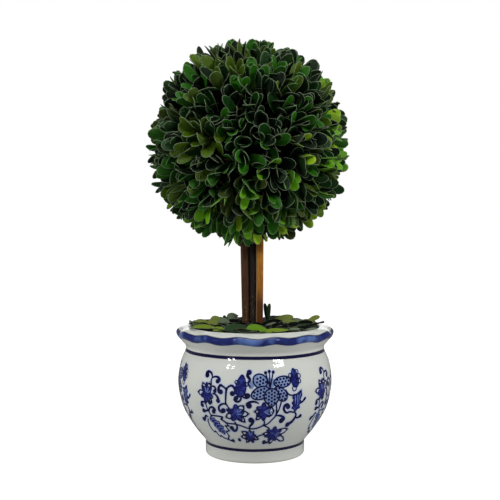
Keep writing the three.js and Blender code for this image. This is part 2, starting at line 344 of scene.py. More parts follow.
# %% Splines and grids
def smooth_share(value, low, high):
    """0 below low, 1 above high, and an even S between."""
    t = np.clip((np.asarray(value, float) - low) / (high - low), 0, 1)
    return t * t * (3 - 2 * t)


def spline_points(stations, steps):
    """Points along a smooth line through stations of any number of values."""
    stations = np.asarray(stations, float)
    last = len(stations) - 1
    t = np.linspace(0, last, steps + 1)
    i = np.minimum(t.astype(int), last - 1)
    w = (t - i)[:, None]
    before, after = stations[np.maximum(i - 1, 0)], stations[np.minimum(i + 2, last)]
    here, there = stations[i], stations[i + 1]
    leave, arrive = (there - before) / 2, (after - here) / 2
    bend = (2 * here - 2 * there + leave + arrive) * w**3
    return bend + (3 * there - 3 * here - 2 * leave - arrive) * w**2 + leave * w + here


def wheel(count):
    """Points round a circle with a radius of one."""
    turn = np.arange(count) * 2 * np.pi / count
    return np.stack([np.cos(turn), np.sin(turn)], 1)


def rows_of_faces(rows, count):
    """Faces between closed rows that have the same count of points each."""
    faces = []
    for low in range(0, (rows - 1) * count, count):
        for j in range(count):
            k = (j + 1) % count
            faces.append((low + j, low + k, low + count + k, low + count + j))
    return faces


def turned_surface(profile, segments):
    """Points and faces of a closed turned shape. The profile starts and ends on the axis."""
    rings = np.asarray(profile, float)[1:-1]
    body = np.concatenate([np.hstack([wheel(segments) * r, np.full((segments, 1), z)]) for r, z in rings])
    ends = [(0, 0, profile[0][1]), (0, 0, profile[-1][1])]
    faces = rows_of_faces(len(rings), segments)
    top = (len(rings) - 1) * segments
    for j in range(segments):
        k = (j + 1) % segments
        faces.append((len(body), k, j))
        faces.append((len(body) + 1, top + j, top + k))
    return np.vstack([body, ends]), faces


# %% [markdown]
# ## The pot
#
# The pot is slip-cast ceramic: a foot ring, a round belly, a narrow neck and a thick rim whose
# outer edge waves in and out fourteen times. A lathe would turn all but the waves, so the mesh is
# turned from a profile first and the rim is then waved by a rule. A subdivision surface could do
# it too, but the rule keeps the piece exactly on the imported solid.

# %% Pot profile, in mm: radius and height
FOOT_RADIUS = 45.8
FOOT_EDGE = 2.8
FOOT_HEIGHT = 13.6
WALL_STATIONS = [
    (46.5, 14.2), (58.5, 30.0), (67.1, 46.2), (70.9, 67.4),
    (68.5, 86.2), (63.9, 98.8), (67.7, 105.4), (71.9, 110.2),
]
RIM_STATIONS = [
    (71.9, 110.2), (72.5, 112.0), (72.0, 114.0), (70.2, 115.9),
    (67.4, 117.5), (64.0, 118.5), (60.9, 118.4), (59.2, 116.8), (58.8, 112.2),
]
INSIDE_STATIONS = [
    (58.8, 112.2), (59.2, 99.7), (64.0, 85.2), (66.2, 68.2), (62.3, 46.7), (52.6, 29.2), (41.0, 14.0),
]
FLOOR_HEIGHT = 8.0
LOBES = 14
LOBE_CREST_DEG = 14.0
LOBE_RISE = 0.8
LOBE_REACH = 0.5
LOBE_CLIMB = (103.2, 110.2)
LOBE_FADE = (61.0, 70.0)
POT_SEGMENTS = LOBES * 16
WALL_STEPS = 64
FOOT_STEPS, RIM_STEPS, INSIDE_STEPS = 6, 26, 20

foot_turn = np.linspace(0, np.pi / 2, FOOT_STEPS)
foot_curve = FOOT_EDGE * np.stack([np.sin(foot_turn), 1 - np.cos(foot_turn)], 1)
foot = foot_curve + (FOOT_RADIUS - FOOT_EDGE, 0)
foot_top = [(FOOT_RADIUS, FOOT_HEIGHT)]
wall = spline_points(WALL_STATIONS, WALL_STEPS)
rim = spline_points(RIM_STATIONS, RIM_STEPS)[1:]
inside = spline_points(INSIDE_STATIONS, INSIDE_STEPS)[1:]
profile = np.vstack([[(0, 0)], foot, foot_top, wall, rim, inside, [(0, FLOOR_HEIGHT)]])
print("pot profile:", len(profile), "points")


# %% Waves of the rim
def wave_rim(points):
    """Raises and widens the rim into lobes, more and more from the neck up, less towards the mouth."""
    x, y, z = points.T
    radius = np.hypot(x, y)
    strength = smooth_share(z, *LOBE_CLIMB) * smooth_share(radius, *LOBE_FADE)
    bearing = np.arctan2(x, -y)
    wave = np.cos(LOBES * (bearing - math.radians(LOBE_CREST_DEG))) * strength
    stretch = 1 + LOBE_REACH * wave / np.maximum(radius, 1e-6)
    return np.stack([x * stretch, y * stretch, z + LOBE_RISE * wave], 1)


pot_points, pot_faces = turned_surface(profile, POT_SEGMENTS)
pot_points = wave_rim(pot_points)

# %% [markdown]
# ### Glaze with painted rings
#
# The glaze is a glossy off-white with a hint of green-grey. Three rings are painted round the pot
# before the last firing: a broad blue band that follows the rim's waves, a navy line in the neck
# and another above the foot. Rings follow a height, so a shader can draw them: a group measures
# how far a point is from the ring's height, bends that height a little as a hand does, and puts
# out a soft-edged mask. The finer scroll painting would need hundreds of such masks, so it is
# laid on as brush strokes further down.

# %% Shader group: a painted ring
ring_group, given, result = new_group(
    "painted_ring",
    {"Height": 50.0, "Half Width": 1.0, "Softness": 0.3,
     "Hand Wobble": 0.2, "Wobble Size": 12.0, "Lobe Rise": 0.0},
    {"Mask": NUMBER},
)
work = partial(calculate, ring_group)
place = object_place(ring_group)
axes = add_node(ring_group, "ShaderNodeSeparateXYZ", [place])
bearing = work("ARCTAN2", axes["X"], work("MULTIPLY", axes["Y"], -1.0))
past_crest = work("SUBTRACT", bearing, math.radians(LOBE_CREST_DEG))
rise = work("MULTIPLY", work("COSINE", work("MULTIPLY", past_crest, LOBES)), given["Lobe Rise"])
wobble = noise(ring_group, work("DIVIDE", METRE, given["Wobble Size"]), 2.0, place)
sway = work("MULTIPLY", work("SUBTRACT", wobble, 0.5), 2.0)
sway = work("MULTIPLY", sway, given["Hand Wobble"])
level = work("ADD", work("ADD", given["Height"], rise), sway)
away = work("ABSOLUTE", work("SUBTRACT", work("MULTIPLY", axes["Z"], METRE), level))
outer = work("ADD", given["Half Width"], given["Softness"])
inner = work("SUBTRACT", given["Half Width"], given["Softness"])
set_inputs(result, {"Mask": spread(ring_group, away, outer, inner, interpolation_type="SMOOTHSTEP")})

# %% Shader group: watery blue
wash_group, given, result = new_group(
    "watery_paint",
    {"Deep": (0, 0, 0.2, 1), "Thin": (0.1, 0.2, 0.5, 1),
     "Pool Size": 6.0, "Thin From": 0.4, "Thin To": 0.65},
    {"Color": COLOUR},
)
finer = calculate(wash_group, "DIVIDE", METRE, given["Pool Size"])
pools = noise(wash_group, finer, 3.0, roughness=0.6)
thin = spread(wash_group, pools, given["Thin From"], given["Thin To"], interpolation_type="SMOOTHSTEP")
set_inputs(result, {"Color": mix_colours(wash_group, thin, given["Deep"], given["Thin"])})

# %% Shader group: glaze surface
glaze_group, given, result = new_group(
    "glaze_surface", {"Ripple": 0.1, "Pinholes": 0.05}, {"Height": NUMBER, "Cloud": NUMBER})
work = partial(calculate, glaze_group)
waves = work("MULTIPLY", noise(glaze_group, 45.0, 2.0), given["Ripple"])
holes = work("MULTIPLY", noise(glaze_group, 900.0, 1.0), given["Pinholes"])
set_inputs(result, {"Height": work("ADD", waves, holes), "Cloud": noise(glaze_group, 18.0, 3.0)})

# %% Glazed pot
GLAZE = paint(221, 223, 215)
GLAZE_CLOUDED = paint(210, 214, 208)
BISCUIT = paint(214, 206, 190)
BAND_DEEP = paint(30, 40, 106)
BAND_THIN = paint(92, 122, 184)
NAVY = paint(14, 15, 60)
GLAZE_ROUGHNESS = 0.07
BISCUIT_ROUGHNESS = 0.75
GLAZE_SPECULAR = 0.34
GLAZE_RIPPLES = dict(ripple=0.16, pinholes=0.004)
GLAZE_RELIEF = (0.25, 1.0)
SOLE_HEIGHT = 0.7
THIN_RING = dict(softness=0.25, hand_wobble=0.25, wobble_size=30.0)

glazed, tree, shader = new_material("glazed_ceramic")
band_paint = group_node(tree, wash_group, deep=BAND_DEEP, thin=BAND_THIN, pool_size=24.0,
                        thin_from=0.42, thin_to=0.7)["Color"]
# Each ring: its paint, its strength, the least radius in mm that it is seen at, and its shape
RINGS = (
    (band_paint, 1.0, 65.5, dict(height=112.2, half_width=3.3, softness=0.35, hand_wobble=0.7,
                                 wobble_size=11.0, lobe_rise=LOBE_RISE)),
    (NAVY, 0.75, 65.5, dict(height=115.3, half_width=0.55, softness=0.3, hand_wobble=0.35,
                            wobble_size=9.0, lobe_rise=LOBE_RISE)),
    (NAVY, 1.0, 61.5, dict(height=97.3, half_width=1.45, **THIN_RING)),
    (NAVY, 1.0, 44.5, dict(height=12.2, half_width=1.3, **THIN_RING)),
)
surface = group_node(tree, glaze_group, **GLAZE_RIPPLES)
colour = mix_colours(tree, surface["Cloud"], GLAZE, GLAZE_CLOUDED)
axes = add_node(tree, "ShaderNodeSeparateXYZ", [object_place(tree)])
flat = add_node(tree, "ShaderNodeCombineXYZ", [axes["X"], axes["Y"], 0.0])[0]
from_axis = add_node(tree, "ShaderNodeVectorMath", [flat], operation="LENGTH")["Value"]
for ring_paint, strength, least_radius, shape in RINGS:
    mask = group_node(tree, ring_group, **shape)["Mask"]
    outside = calculate(tree, "GREATER_THAN", from_axis, least_radius * MM)
    share = calculate(tree, "MULTIPLY", calculate(tree, "MULTIPLY", mask, outside), strength)
    colour = mix_colours(tree, share, colour, ring_paint)
sole = calculate(tree, "LESS_THAN", axes["Z"], SOLE_HEIGHT * MM)
colour = mix_colours(tree, sole, colour, BISCUIT)
rough = spread(tree, sole, 0.0, 1.0, GLAZE_ROUGHNESS, BISCUIT_ROUGHNESS)
set_finish(shader, colour, rough, GLAZE_SPECULAR, (surface["Height"], *GLAZE_RELIEF))
place_piece(new_piece("painted_pot", pot_points, pot_faces, glazed), "glazed_pot", "pot")

# %% [markdown]
# ### Scroll painting
#
# Brushwork in cobalt covers the belly: a large flower with netted petals, smaller blossoms, buds,
# a feathered leaf, and curling vines between them. It is a traditional blue and white scroll. The
# same group of motifs comes back four times round the pot. Each stroke is a thin patch of paint
# that lies on the glaze, a few hundredths of a millimetre thick: the washes lowest, then the
# cobalt fillings, then the navy outlines. A picture could not be used here, and strokes stay sharp
# from close by.

# %% Brush tools: a point is [across, height] in mm on the unrolled pot
UNROLLED_RADIUS = 70.0
PAINT_LIFT = {"halo": 0.03, "wash": 0.06, "cobalt": 0.09, "pale": 0.12, "line": 0.15}
LEVEL_LIFT = 0.12
HALO_REACH = 1.0
BRUSH_STEP = 0.9
FEW_CORNERS = 20
CORNER_STEPS = 4
sketch = {layer: ([], []) for layer in PAINT_LIFT}


def lay_down(layer, points, faces, level=0):
    """Adds flat points, each with its lift off the glaze, and faces to a layer of paint."""
    stored, stored_faces = sketch[layer]
    start = len(stored)
    lift = PAINT_LIFT[layer] + level * LEVEL_LIFT
    stored.extend([(p[0], p[1], lift) for p in points])
    stored_faces.extend([tuple(start + int(v) for v in face) for face in faces])


def fill_shape(layer, outline, rings=3, level=0):
    """Fills a star-shaped outline, which runs anticlockwise, with rings of faces round its middle."""
    outline = np.asarray(outline, float)
    if len(outline) < FEW_CORNERS:
        ends = np.roll(outline, -1, axis=0)
        shares = np.arange(CORNER_STEPS)[:, None] / CORNER_STEPS
        outline = np.vstack([start + (end - start) * shares for start, end in zip(outline, ends)])
    middle = outline.mean(0)
    count = len(outline)
    shares = 1 - np.arange(rings) / rings
    points = np.vstack([middle + (outline - middle) * s for s in shares] + [[middle]])
    last = (rings - 1) * count
    closing = [(last + j, last + (j + 1) % count, rings * count) for j in range(count)]
    lay_down(layer, points, rows_of_faces(rings, count) + closing, level)


def dot(layer, centre, radius, sides=10, level=0):
    """A round dab of paint."""
    fill_shape(layer, np.array(centre) + radius * wheel(sides), 1, level)


def stroke(points, start, end=None, ball=0.0, layer="line", closed=False, level=0):
    """A brush stroke through points, from one width to another, with a round drop at its end."""
    points = np.asarray(points, float)
    if closed:
        points = np.vstack([points, points[:1]])
    widths = np.linspace(start, start if end is None else end, len(points))
    length = np.hypot(*np.diff(points, axis=0).T).sum()
    steps = max(3, int(length / BRUSH_STEP))
    fine = spline_points(np.column_stack([points, widths]), steps)
    ahead = np.gradient(fine[:, :2], axis=0)
    ahead /= np.maximum(np.hypot(*ahead.T), 1e-9)[:, None]
    aside = np.stack([-ahead[:, 1], ahead[:, 0]], 1)
    count = len(fine)
    faces = [(i, count + i, count + i + 1, i + 1) for i in range(count - 1)]
    for put, extra in ((layer, 0.0), ("halo", HALO_REACH)):
        if put == "halo" and layer != "line":
            continue
        at = level if put == layer else 0
        half = aside * (fine[:, 2:3] / 2 + extra)
        lay_down(put, np.vstack([fine[:, :2] + half, fine[:, :2] - half]), faces, at)
        if not closed:
            dot(put, points[0], fine[0, 2] / 2 + extra, 8, at)
            dot(put, points[-1], max(ball, fine[-1, 2] / 2) + extra, 10, at)


def cornered(corners, width):
    """A line with sharp corners: one stroke from each corner to the next."""
    for first, second in zip(corners, corners[1:]):
        stroke([first, second], width)


# %% [markdown]
# A petal or a bud is an egg shape with a tilt. A blossom is a ragged dark heart with small pointed
# petals drawn round it in outline, and the feathered leaf has a toothed edge and slanting veins.


# %% Motifs
NET_PITCH = 3.0
NET_ROW = 2.5
NET_DAB = 1.12
NET_MARGIN = 1.1
THIN_LINE = 1.4
THIN_EDGE = 0.8
PETAL_EDGE = 1.3
HEART_STEPS = 40
HEART_REACH = 0.88
HEART_WAVE = 0.2
PETAL_SHARES = (0.45, 0.78, 1.0)


def heading(bearing_deg):
    """One step in a direction on the panel, and one step to the left of it."""
    bearing = math.radians(bearing_deg)
    ahead = np.array([math.cos(bearing), math.sin(bearing)])
    return ahead, np.array([-ahead[1], ahead[0]])


def tilted(centre, along, across, tilt_deg):
    """Points on the panel from places along and across a tilted shape."""
    ahead, aside = heading(tilt_deg)
    return np.array(centre) + (np.multiply.outer(along, ahead) + np.multiply.outer(across, aside))


def egg(centre, length, width, tilt_deg, point=0.2, sharp=0.0, count=24):
    """An egg-shaped outline. Point draws its leading end in, and sharp makes that end a corner."""
    lead, side = wheel(count).T
    narrow = (1 - point * lead) * (1 - sharp * np.maximum(lead, 0) ** 2)
    return tilted(centre, lead * length / 2, side * width / 2 * narrow, tilt_deg)


def netted_petal(centre, length, width, tilt_deg, point, sharp=0.0, level=0):
    """A pale blue petal with rows of dark dabs and a dark edge."""
    outline = egg(centre, length, width, tilt_deg, point, sharp)
    fill_shape("wash", outline, 4, level)
    stroke(outline, PETAL_EDGE, closed=True, level=level)
    rows = int(width / NET_ROW / 2) + 2
    columns = int(length / NET_PITCH / 2) + 1
    for row in range(-rows, rows + 1):
        for column in range(-columns, columns + 1):
            along = (column + 0.5 * (row % 2)) * NET_PITCH
            across = row * NET_ROW
            lead = along / (length / 2)
            share = (1 - point * lead) * (1 - sharp * max(lead, 0) ** 2)
            ahead = along / (length / 2 - NET_MARGIN)
            aside = across / share / (width / 2 - NET_MARGIN)
            if ahead**2 + aside**2 <= 1:
                dot("line", tilted(centre, along, across, tilt_deg), NET_DAB, 6, level)


def dark_shape(outline):
    """A cobalt filling with a thin dark edge."""
    fill_shape("cobalt", outline, 4)
    stroke(outline, THIN_EDGE, closed=True)


def blossom(centre, width, height, spikes, petals, streaks):
    """A small flower: a ragged heart, petals (bearing, reach, breadth), streaks (bearing, start, end)."""
    centre = np.array(centre)
    turn = np.arange(HEART_STEPS) * 2 * np.pi / HEART_STEPS
    ragged = HEART_REACH + HEART_WAVE * np.cos(spikes * (turn - np.pi / 2))
    dark_shape(centre + wheel(HEART_STEPS) * (width / 2, height / 2) * ragged[:, None])
    for bearing_deg, reach, breadth in petals:
        ahead, aside = heading(bearing_deg)
        foot, shoulder, tip = (centre + ahead * reach * s for s in PETAL_SHARES)
        for half in (0.5, -0.5):
            side = aside * breadth * half
            stroke([foot + side, shoulder + side, tip], THIN_LINE)
    for bearing_deg, start, end in streaks:
        ahead, _ = heading(bearing_deg)
        stroke([centre + ahead * start, centre + ahead * end], 0.6, 1.2, layer="pale")


def bud(centre, length, width, tilt_deg, scallops):
    """A closed bud: a dark egg with small round petals in outline at (bearing, reach, radius)."""
    dark_shape(egg(centre, length, width, tilt_deg, 0.15, 0.25))
    for bearing_deg, reach, radius in scallops:
        middle = np.array(centre) + reach * heading(bearing_deg)[0]
        stroke(egg(middle, radius * 2.4, radius * 2, bearing_deg, 0.1, 0, 12), 1.0, closed=True)


# %% [markdown]
# The panel is drawn from the motifs, with the vines between them. The numbers are places on the
# unrolled pot, in millimetres from the panel's middle line and from the table.

# %% One panel of the scroll
netted_petal((4.2, 77.9), 13.0, 11.4, 142, 0.05)
netted_petal((23.8, 76.6), 15.6, 9.4, 6, -0.05)
netted_petal((4.4, 67.5), 16.4, 10.6, 202, 0.1, level=1)
netted_petal((22.0, 66.3), 15.0, 9.6, -48, 0.0, level=1)
netted_petal((14.1, 63.3), 15.8, 13.2, -90, 0.1, 0.5, level=2)
fill_shape("wash", [(12.6, 69.5), (18.4, 75.0), (17.2, 79.0), (12.4, 80.6), (8.0, 80.0), (6.4, 75.0)])
for stamen_tip in ((9.0, 84.8), (12.3, 85.8), (15.8, 85.2)):
    bow = 0.45 * (stamen_tip[0] - 12.6)
    stroke([(12.7, 71.5), (12.6 + bow, 78.0), stamen_tip], 1.2, 1.1, ball=1.5)
fill_shape("wash", egg((-3.0, 74.6), 7.5, 4.5, 70, 0.0))

bud((-12.3, 73.4), 19.5, 8.9, 84, [(140, 4.6, 1.7), (20, 4.6, 1.7)])
bud((35.8, 79.2), 16.4, 7.6, 96,
    [(66, 5.0, 2.0), (18, 3.8, 2.2), (-36, 4.6, 2.0), (150, 4.2, 1.9), (-95, 9.0, 1.9)])
blossom((-45.0, 64.4), 12.5, 19.0, 7,
        [(176, 9.8, 4.2), (116, 10.2, 4.2), (72, 10.2, 3.6), (-60, 8.8, 3.2)],
        [(72, 1.5, 6.5), (106, 1.5, 6.5), (40, 1.5, 4.5)])
blossom((-17.2, 49.0), 14.5, 15.5, 5,
        [(46, 9.8, 4.8), (0, 11.0, 4.4), (-46, 10.4, 3.8), (202, 10.6, 4.4), (160, 9.0, 3.2)],
        [(35, 1.5, 5.8), (-10, 1.5, 6.0), (60, 2.0, 5.2)])
blossom((7.4, 51.0), 13.6, 15.6, 6, [(2, 9.0, 7.4), (228, 9.6, 3.2), (178, 7.8, 3.2)],
        [(20, 1.0, 6.4), (-5, 1.0, 7.0), (-30, 1.0, 6.0)])
blossom((-5.6, 27.0), 12.6, 12.6, 9,
        [(150, 9.0, 3.2), (185, 9.4, 3.2), (-18, 9.2, 3.4), (-60, 7.0, 2.8), (235, 7.6, 2.8)],
        [(60, 1.0, 4.8), (100, 1.0, 4.8)])
blossom((19.5, 28.6), 18.6, 14.6, 7,
        [(16, 14.8, 4.8), (-27, 17.0, 4.4), (-100, 9.8, 3.6), (175, 11.2, 3.2)],
        [(0, 2.0, 7.5), (-25, 2.0, 7.5), (15, 3.0, 8.5)])

# %% A ragged bell at the right, with a horned mouth at its top
BELL = [(42.0, 68.2), (39.8, 66.0), (37.2, 65.0), (34.0, 65.0), (33.4, 61.8), (34.9, 60.0), (33.0, 57.4),
        (34.7, 55.4), (33.4, 52.8), (35.8, 51.4), (37.0, 48.8), (39.0, 51.4), (41.6, 52.4), (40.6, 55.2),
        (42.8, 57.4), (41.2, 60.0), (42.9, 63.4)]
fill_shape("cobalt", BELL, 4)
cornered(BELL + BELL[:1], 0.9)
stroke([(42.0, 56.4), (44.6, 58.0), (46.8, 60.4)], 1.4, 2.4)
for foot, top in (((36.8, 56.4), (36.0, 63.4)), ((38.8, 55.6), (38.6, 63.8)), ((40.0, 58.0), (41.0, 64.6))):
    stroke([foot, top], 0.5, 1.0, layer="pale")

# %% The feathered leaf: a white edge with teeth, and a mid-blue middle with pale and dark veins
LEAF_LEFT_EDGE = [(-48.0, 41.0), (-49.4, 38.5), (-49.8, 34.0), (-48.6, 30.3), (-47.0, 28.4), (-44.6, 29.2),
                  (-43.6, 26.3), (-41.8, 24.2), (-39.8, 25.4), (-37.6, 23.5), (-32.4, 22.2)]
LEAF_RIGHT_EDGE = [(-44.0, 44.0), (-41.0, 45.2), (-36.0, 45.2), (-30.8, 44.8), (-33.0, 42.5), (-29.8, 41.0),
                   (-26.0, 36.4), (-30.0, 36.5), (-27.2, 31.7), (-30.8, 30.5), (-29.5, 26.0), (-32.4, 22.2)]
LEAF_BODY = [(-46.0, 42.8), (-46.0, 39.6), (-43.4, 37.4), (-43.6, 34.6), (-41.0, 32.6), (-40.6, 29.4),
             (-37.4, 28.4), (-34.2, 26.6), (-31.4, 30.0), (-33.2, 32.6), (-31.6, 35.4), (-35.0, 37.4),
             (-35.2, 40.4), (-38.6, 41.2), (-40.0, 43.6)]
cornered(LEAF_LEFT_EDGE, THIN_LINE)
cornered(LEAF_RIGHT_EDGE, THIN_LINE)
fill_shape("cobalt", LEAF_BODY)
LEAF_MIDRIB = np.array([(-45.0, 43.0), (-33.6, 27.6)])
VEIN_SHARES = (0.1, 0.26, 0.42, 0.58, 0.74, 0.88)
for share in VEIN_SHARES:
    vein = LEAF_MIDRIB[0] + share * (LEAF_MIDRIB[1] - LEAF_MIDRIB[0])
    reach = 1 - 0.8 * abs(share - 0.4)
    branch = np.array([(0.0, 0.0), (3.2, 0.6), (6.0, 0.2)]) * reach
    stroke(vein + branch, 0.9, 1.3, layer="pale")
    stroke([vein, vein + np.array([-1.6, -3.6]) * reach], 0.9, 1.2, layer="pale")
stroke(LEAF_MIDRIB, 0.8)

# %% Vines
VINES = (
    [(-43.0, 45.0), (-41.0, 45.2), (-31.0, 44.9), (-32.4, 42.3), (-27.0, 39.4), (-20.0, 39.0)],
    [(-20.0, 39.0), (-14.5, 37.8), (-6.0, 35.0), (1.0, 35.2), (7.6, 38.0)],
    [(7.6, 38.0), (12.0, 39.8), (15.5, 43.5), (18.5, 47.0), (18.9, 52.0), (18.3, 58.0)],
    [(18.5, 47.0), (21.2, 53.0), (23.0, 60.5)],
    [(7.6, 38.0), (8.6, 41.0), (7.0, 44.0)],
    [(7.6, 38.0), (11.5, 36.4), (14.0, 34.5)],
    [(26.5, 69.4), (29.3, 65.6), (33.0, 64.4), (37.5, 65.0), (41.0, 67.4)],
    [(-26.3, 57.2), (-24.5, 55.0), (-22.0, 51.5)],
    [(-47.0, 55.6), (-46.6, 52.5), (-44.6, 48.0), (-42.8, 44.9)],
    [(1.0, 25.5), (4.0, 27.6), (9.6, 28.8)],
    [(-40.0, 73.2), (-40.4, 76.5), (-39.4, 79.4)],
)
for vine in VINES:
    stroke(vine, THIN_LINE)

# %% Curls: their points, and how thick they swell towards the drop at the end
CURLS = (
    ([(-12.0, 65.0), (-12.3, 62.5), (-14.0, 60.2), (-16.6, 60.0), (-18.0, 61.8), (-16.6, 63.0)], 0.9),
    ([(-11.4, 65.0), (-9.6, 63.6), (-7.0, 63.3), (-5.3, 64.8), (-6.0, 66.3), (-7.4, 65.6)], 0.9),
    ([(-4.5, 73.0), (-6.2, 75.8), (-4.6, 79.0), (-6.8, 82.4), (-5.3, 85.2)], 1.0),
    ([(2.8, 58.7), (-1.0, 60.2), (-5.0, 59.4), (-7.0, 57.4), (-5.4, 56.3)], 1.1),
    ([(18.5, 47.0), (22.0, 46.9), (25.5, 45.4), (26.8, 43.0), (24.6, 41.9)], 1.1),
    ([(-5.5, 33.0), (-5.6, 36.5), (-3.0, 39.8), (-2.2, 42.6), (-4.0, 43.3)], 1.1),
    ([(-19.3, 40.8), (-17.7, 36.6), (-19.4, 32.8), (-22.4, 32.2), (-23.5, 34.6)], 1.0),
    ([(-26.3, 57.2), (-26.0, 63.0), (-25.2, 70.5)], 0.6),
    ([(-25.2, 70.3), (-28.5, 72.4), (-31.0, 73.4), (-32.6, 70.6), (-32.3, 67.4), (-30.6, 67.6)], 1.0),
    ([(-25.2, 70.3), (-23.0, 72.7), (-20.2, 73.5), (-17.6, 71.0), (-17.4, 68.0), (-19.8, 66.7)], 1.0),
    ([(-26.3, 57.2), (-30.0, 56.8), (-33.2, 54.0), (-33.0, 50.8), (-30.4, 49.6), (-29.0, 51.0)], 1.0),
    ([(-39.4, 79.4), (-40.6, 82.6), (-43.8, 84.0), (-46.0, 82.6), (-45.2, 80.8)], 1.0),
    ([(-39.4, 79.2), (-36.5, 80.2), (-33.5, 79.8), (-32.0, 77.8), (-33.8, 76.5)], 0.9),
    ([(-39.5, 71.8), (-37.0, 71.6), (-35.6, 69.8), (-36.4, 67.6)], 0.8),
    ([(-38.5, 65.4), (-35.6, 64.8), (-33.6, 62.0), (-33.5, 59.4)], 0.9),
    ([(-46.5, 56.0), (-50.0, 56.9), (-52.3, 55.5), (-51.6, 53.6)], 0.9),
    ([(-44.6, 48.6), (-43.4, 51.8), (-40.4, 53.0), (-37.8, 51.2), (-39.4, 49.0)], 0.9),
    ([(-45.0, 49.4), (-48.0, 48.8), (-50.8, 48.6)], 0.9),
    ([(-47.6, 43.4), (-49.8, 44.0), (-51.6, 41.6), (-54.2, 40.0)], 0.9),
    ([(36.0, 48.8), (32.0, 49.6), (28.6, 49.0), (25.8, 52.0), (26.2, 55.4), (28.8, 56.4), (29.6, 54.4)], 1.0),
    ([(36.5, 49.2), (38.8, 46.5), (38.4, 43.5), (36.2, 40.0), (32.2, 37.4)], 1.1),
    ([(38.5, 43.4), (41.5, 43.2), (44.2, 44.4)], 0.8),
    ([(-32.4, 22.2), (-29.0, 21.2), (-26.2, 21.3)], 0.8),
    ([(17.5, 20.4), (13.0, 20.1), (10.4, 20.6)], 1.0),
    ([(-19.0, 23.4), (-18.2, 22.8)], 0.8),
)
CURL_START = 1.4
CURL_END = 3.3
CURL_DROP = 2.35
for curl, swell in CURLS:
    stroke(curl, CURL_START, CURL_END * swell, CURL_DROP * swell)

# %% [markdown]
# Around each stroke the cobalt has bled a little into the white. A pale copy of every outline and
# filling, a millimetre wider, lies below the rest and gives that bluish rim of light.


# %% Wrap the panel round the pot
PANEL_RISE = 0.6


def wrap_on_pot(flat_points, bearing_deg):
    """Bends points from the unrolled panel onto the pot's wall, lifted off it by the paint."""
    across, height, lift = np.asarray(flat_points, float).T
    turn = across / UNROLLED_RADIUS + math.radians(bearing_deg)
    height = height + PANEL_RISE
    radius = np.interp(height, wall[:, 1], wall[:, 0])
    slope = np.interp(height, wall[:, 1], np.gradient(wall[:, 0], wall[:, 1]))
    size = np.hypot(1, slope)
    radius = radius + lift / size
    height = height - lift * slope / size
    return np.stack([radius * np.sin(turn), -radius * np.cos(turn), height], 1)


PANEL_BEARINGS = (0.0, 94.0, 180.0, -94.0)

PAINTS = {
    "halo": ("painted_bleeding", "bluish_glaze", paint(196, 206, 232), paint(212, 217, 228), 8.0),
    "wash": ("painted_washes", "pale_blue_wash", paint(118, 140, 186), paint(146, 164, 204), 5.0),
    "cobalt": ("painted_fillings", "cobalt_filling", paint(25, 28, 106), paint(58, 74, 156), 4.0),
    "pale": ("painted_streaks", "pale_streak", paint(96, 118, 182), paint(140, 160, 206), 4.0),
    "line": ("painted_outlines", "navy_outline", paint(12, 13, 58), paint(26, 32, 92), 5.0),
}

POOL_EDGES = dict(thin_from=0.45, thin_to=0.7)

for layer, (piece_name, label, deep, thin, pool_size) in PAINTS.items():
    material, tree, shader = new_material(label)
    watery = group_node(tree, wash_group, deep=deep, thin=thin, pool_size=pool_size, **POOL_EDGES)
    surface = group_node(tree, glaze_group, **GLAZE_RIPPLES)
    relief = (surface["Height"], *GLAZE_RELIEF)
    set_finish(shader, watery["Color"], GLAZE_ROUGHNESS, GLAZE_SPECULAR, relief)
    flat_points, flat_faces = sketch[layer]
    points, faces = [], []
    for bearing_deg in PANEL_BEARINGS:
        start = len(points)
        points.extend(wrap_on_pot(flat_points, bearing_deg).tolist())
        faces.extend([tuple(start + v for v in face) for face in flat_faces])
    place_piece(new_piece(piece_name, points, faces, material), "glazed_pot")

# %% [markdown]
# ## The sticks
#
# The stem is three cut sticks side by side: a brown one, a near-black one behind it and a golden
# one with the bark off. Each is a long tube whose skin is pushed in and out by ridges that run
# along the grain, so the relief is in the mesh and not only in the finish.

# %% Stick shapes
STICK_LOW, STICK_HIGH = 121.0, 195.0
STICK_FOOT, STICK_TIP = 86.0, 252.0
STICKS = {
    "stick_left": dict(low=(-8.9, 0.0), high=(-9.9, 0.0), radius=(3.05, 3.5)),
    "stick_middle": dict(low=(-2.55, 3.0), high=(-2.65, 3.2), radius=(3.55, 3.8)),
    "stick_right": dict(low=(4.15, 0.0), high=(4.45, 0.0), radius=(3.25, 3.35)),
}
STICK_SIDES = 56
STICK_ROWS = 190
RIDGES = 26
RIDGE_WAVES = (2, 14)
RIDGE_LENGTHS = (18, 90)
RIDGE_DRIFT = 0.6
RIDGE_SWING = 3
KNOT_STRETCH = 1.4


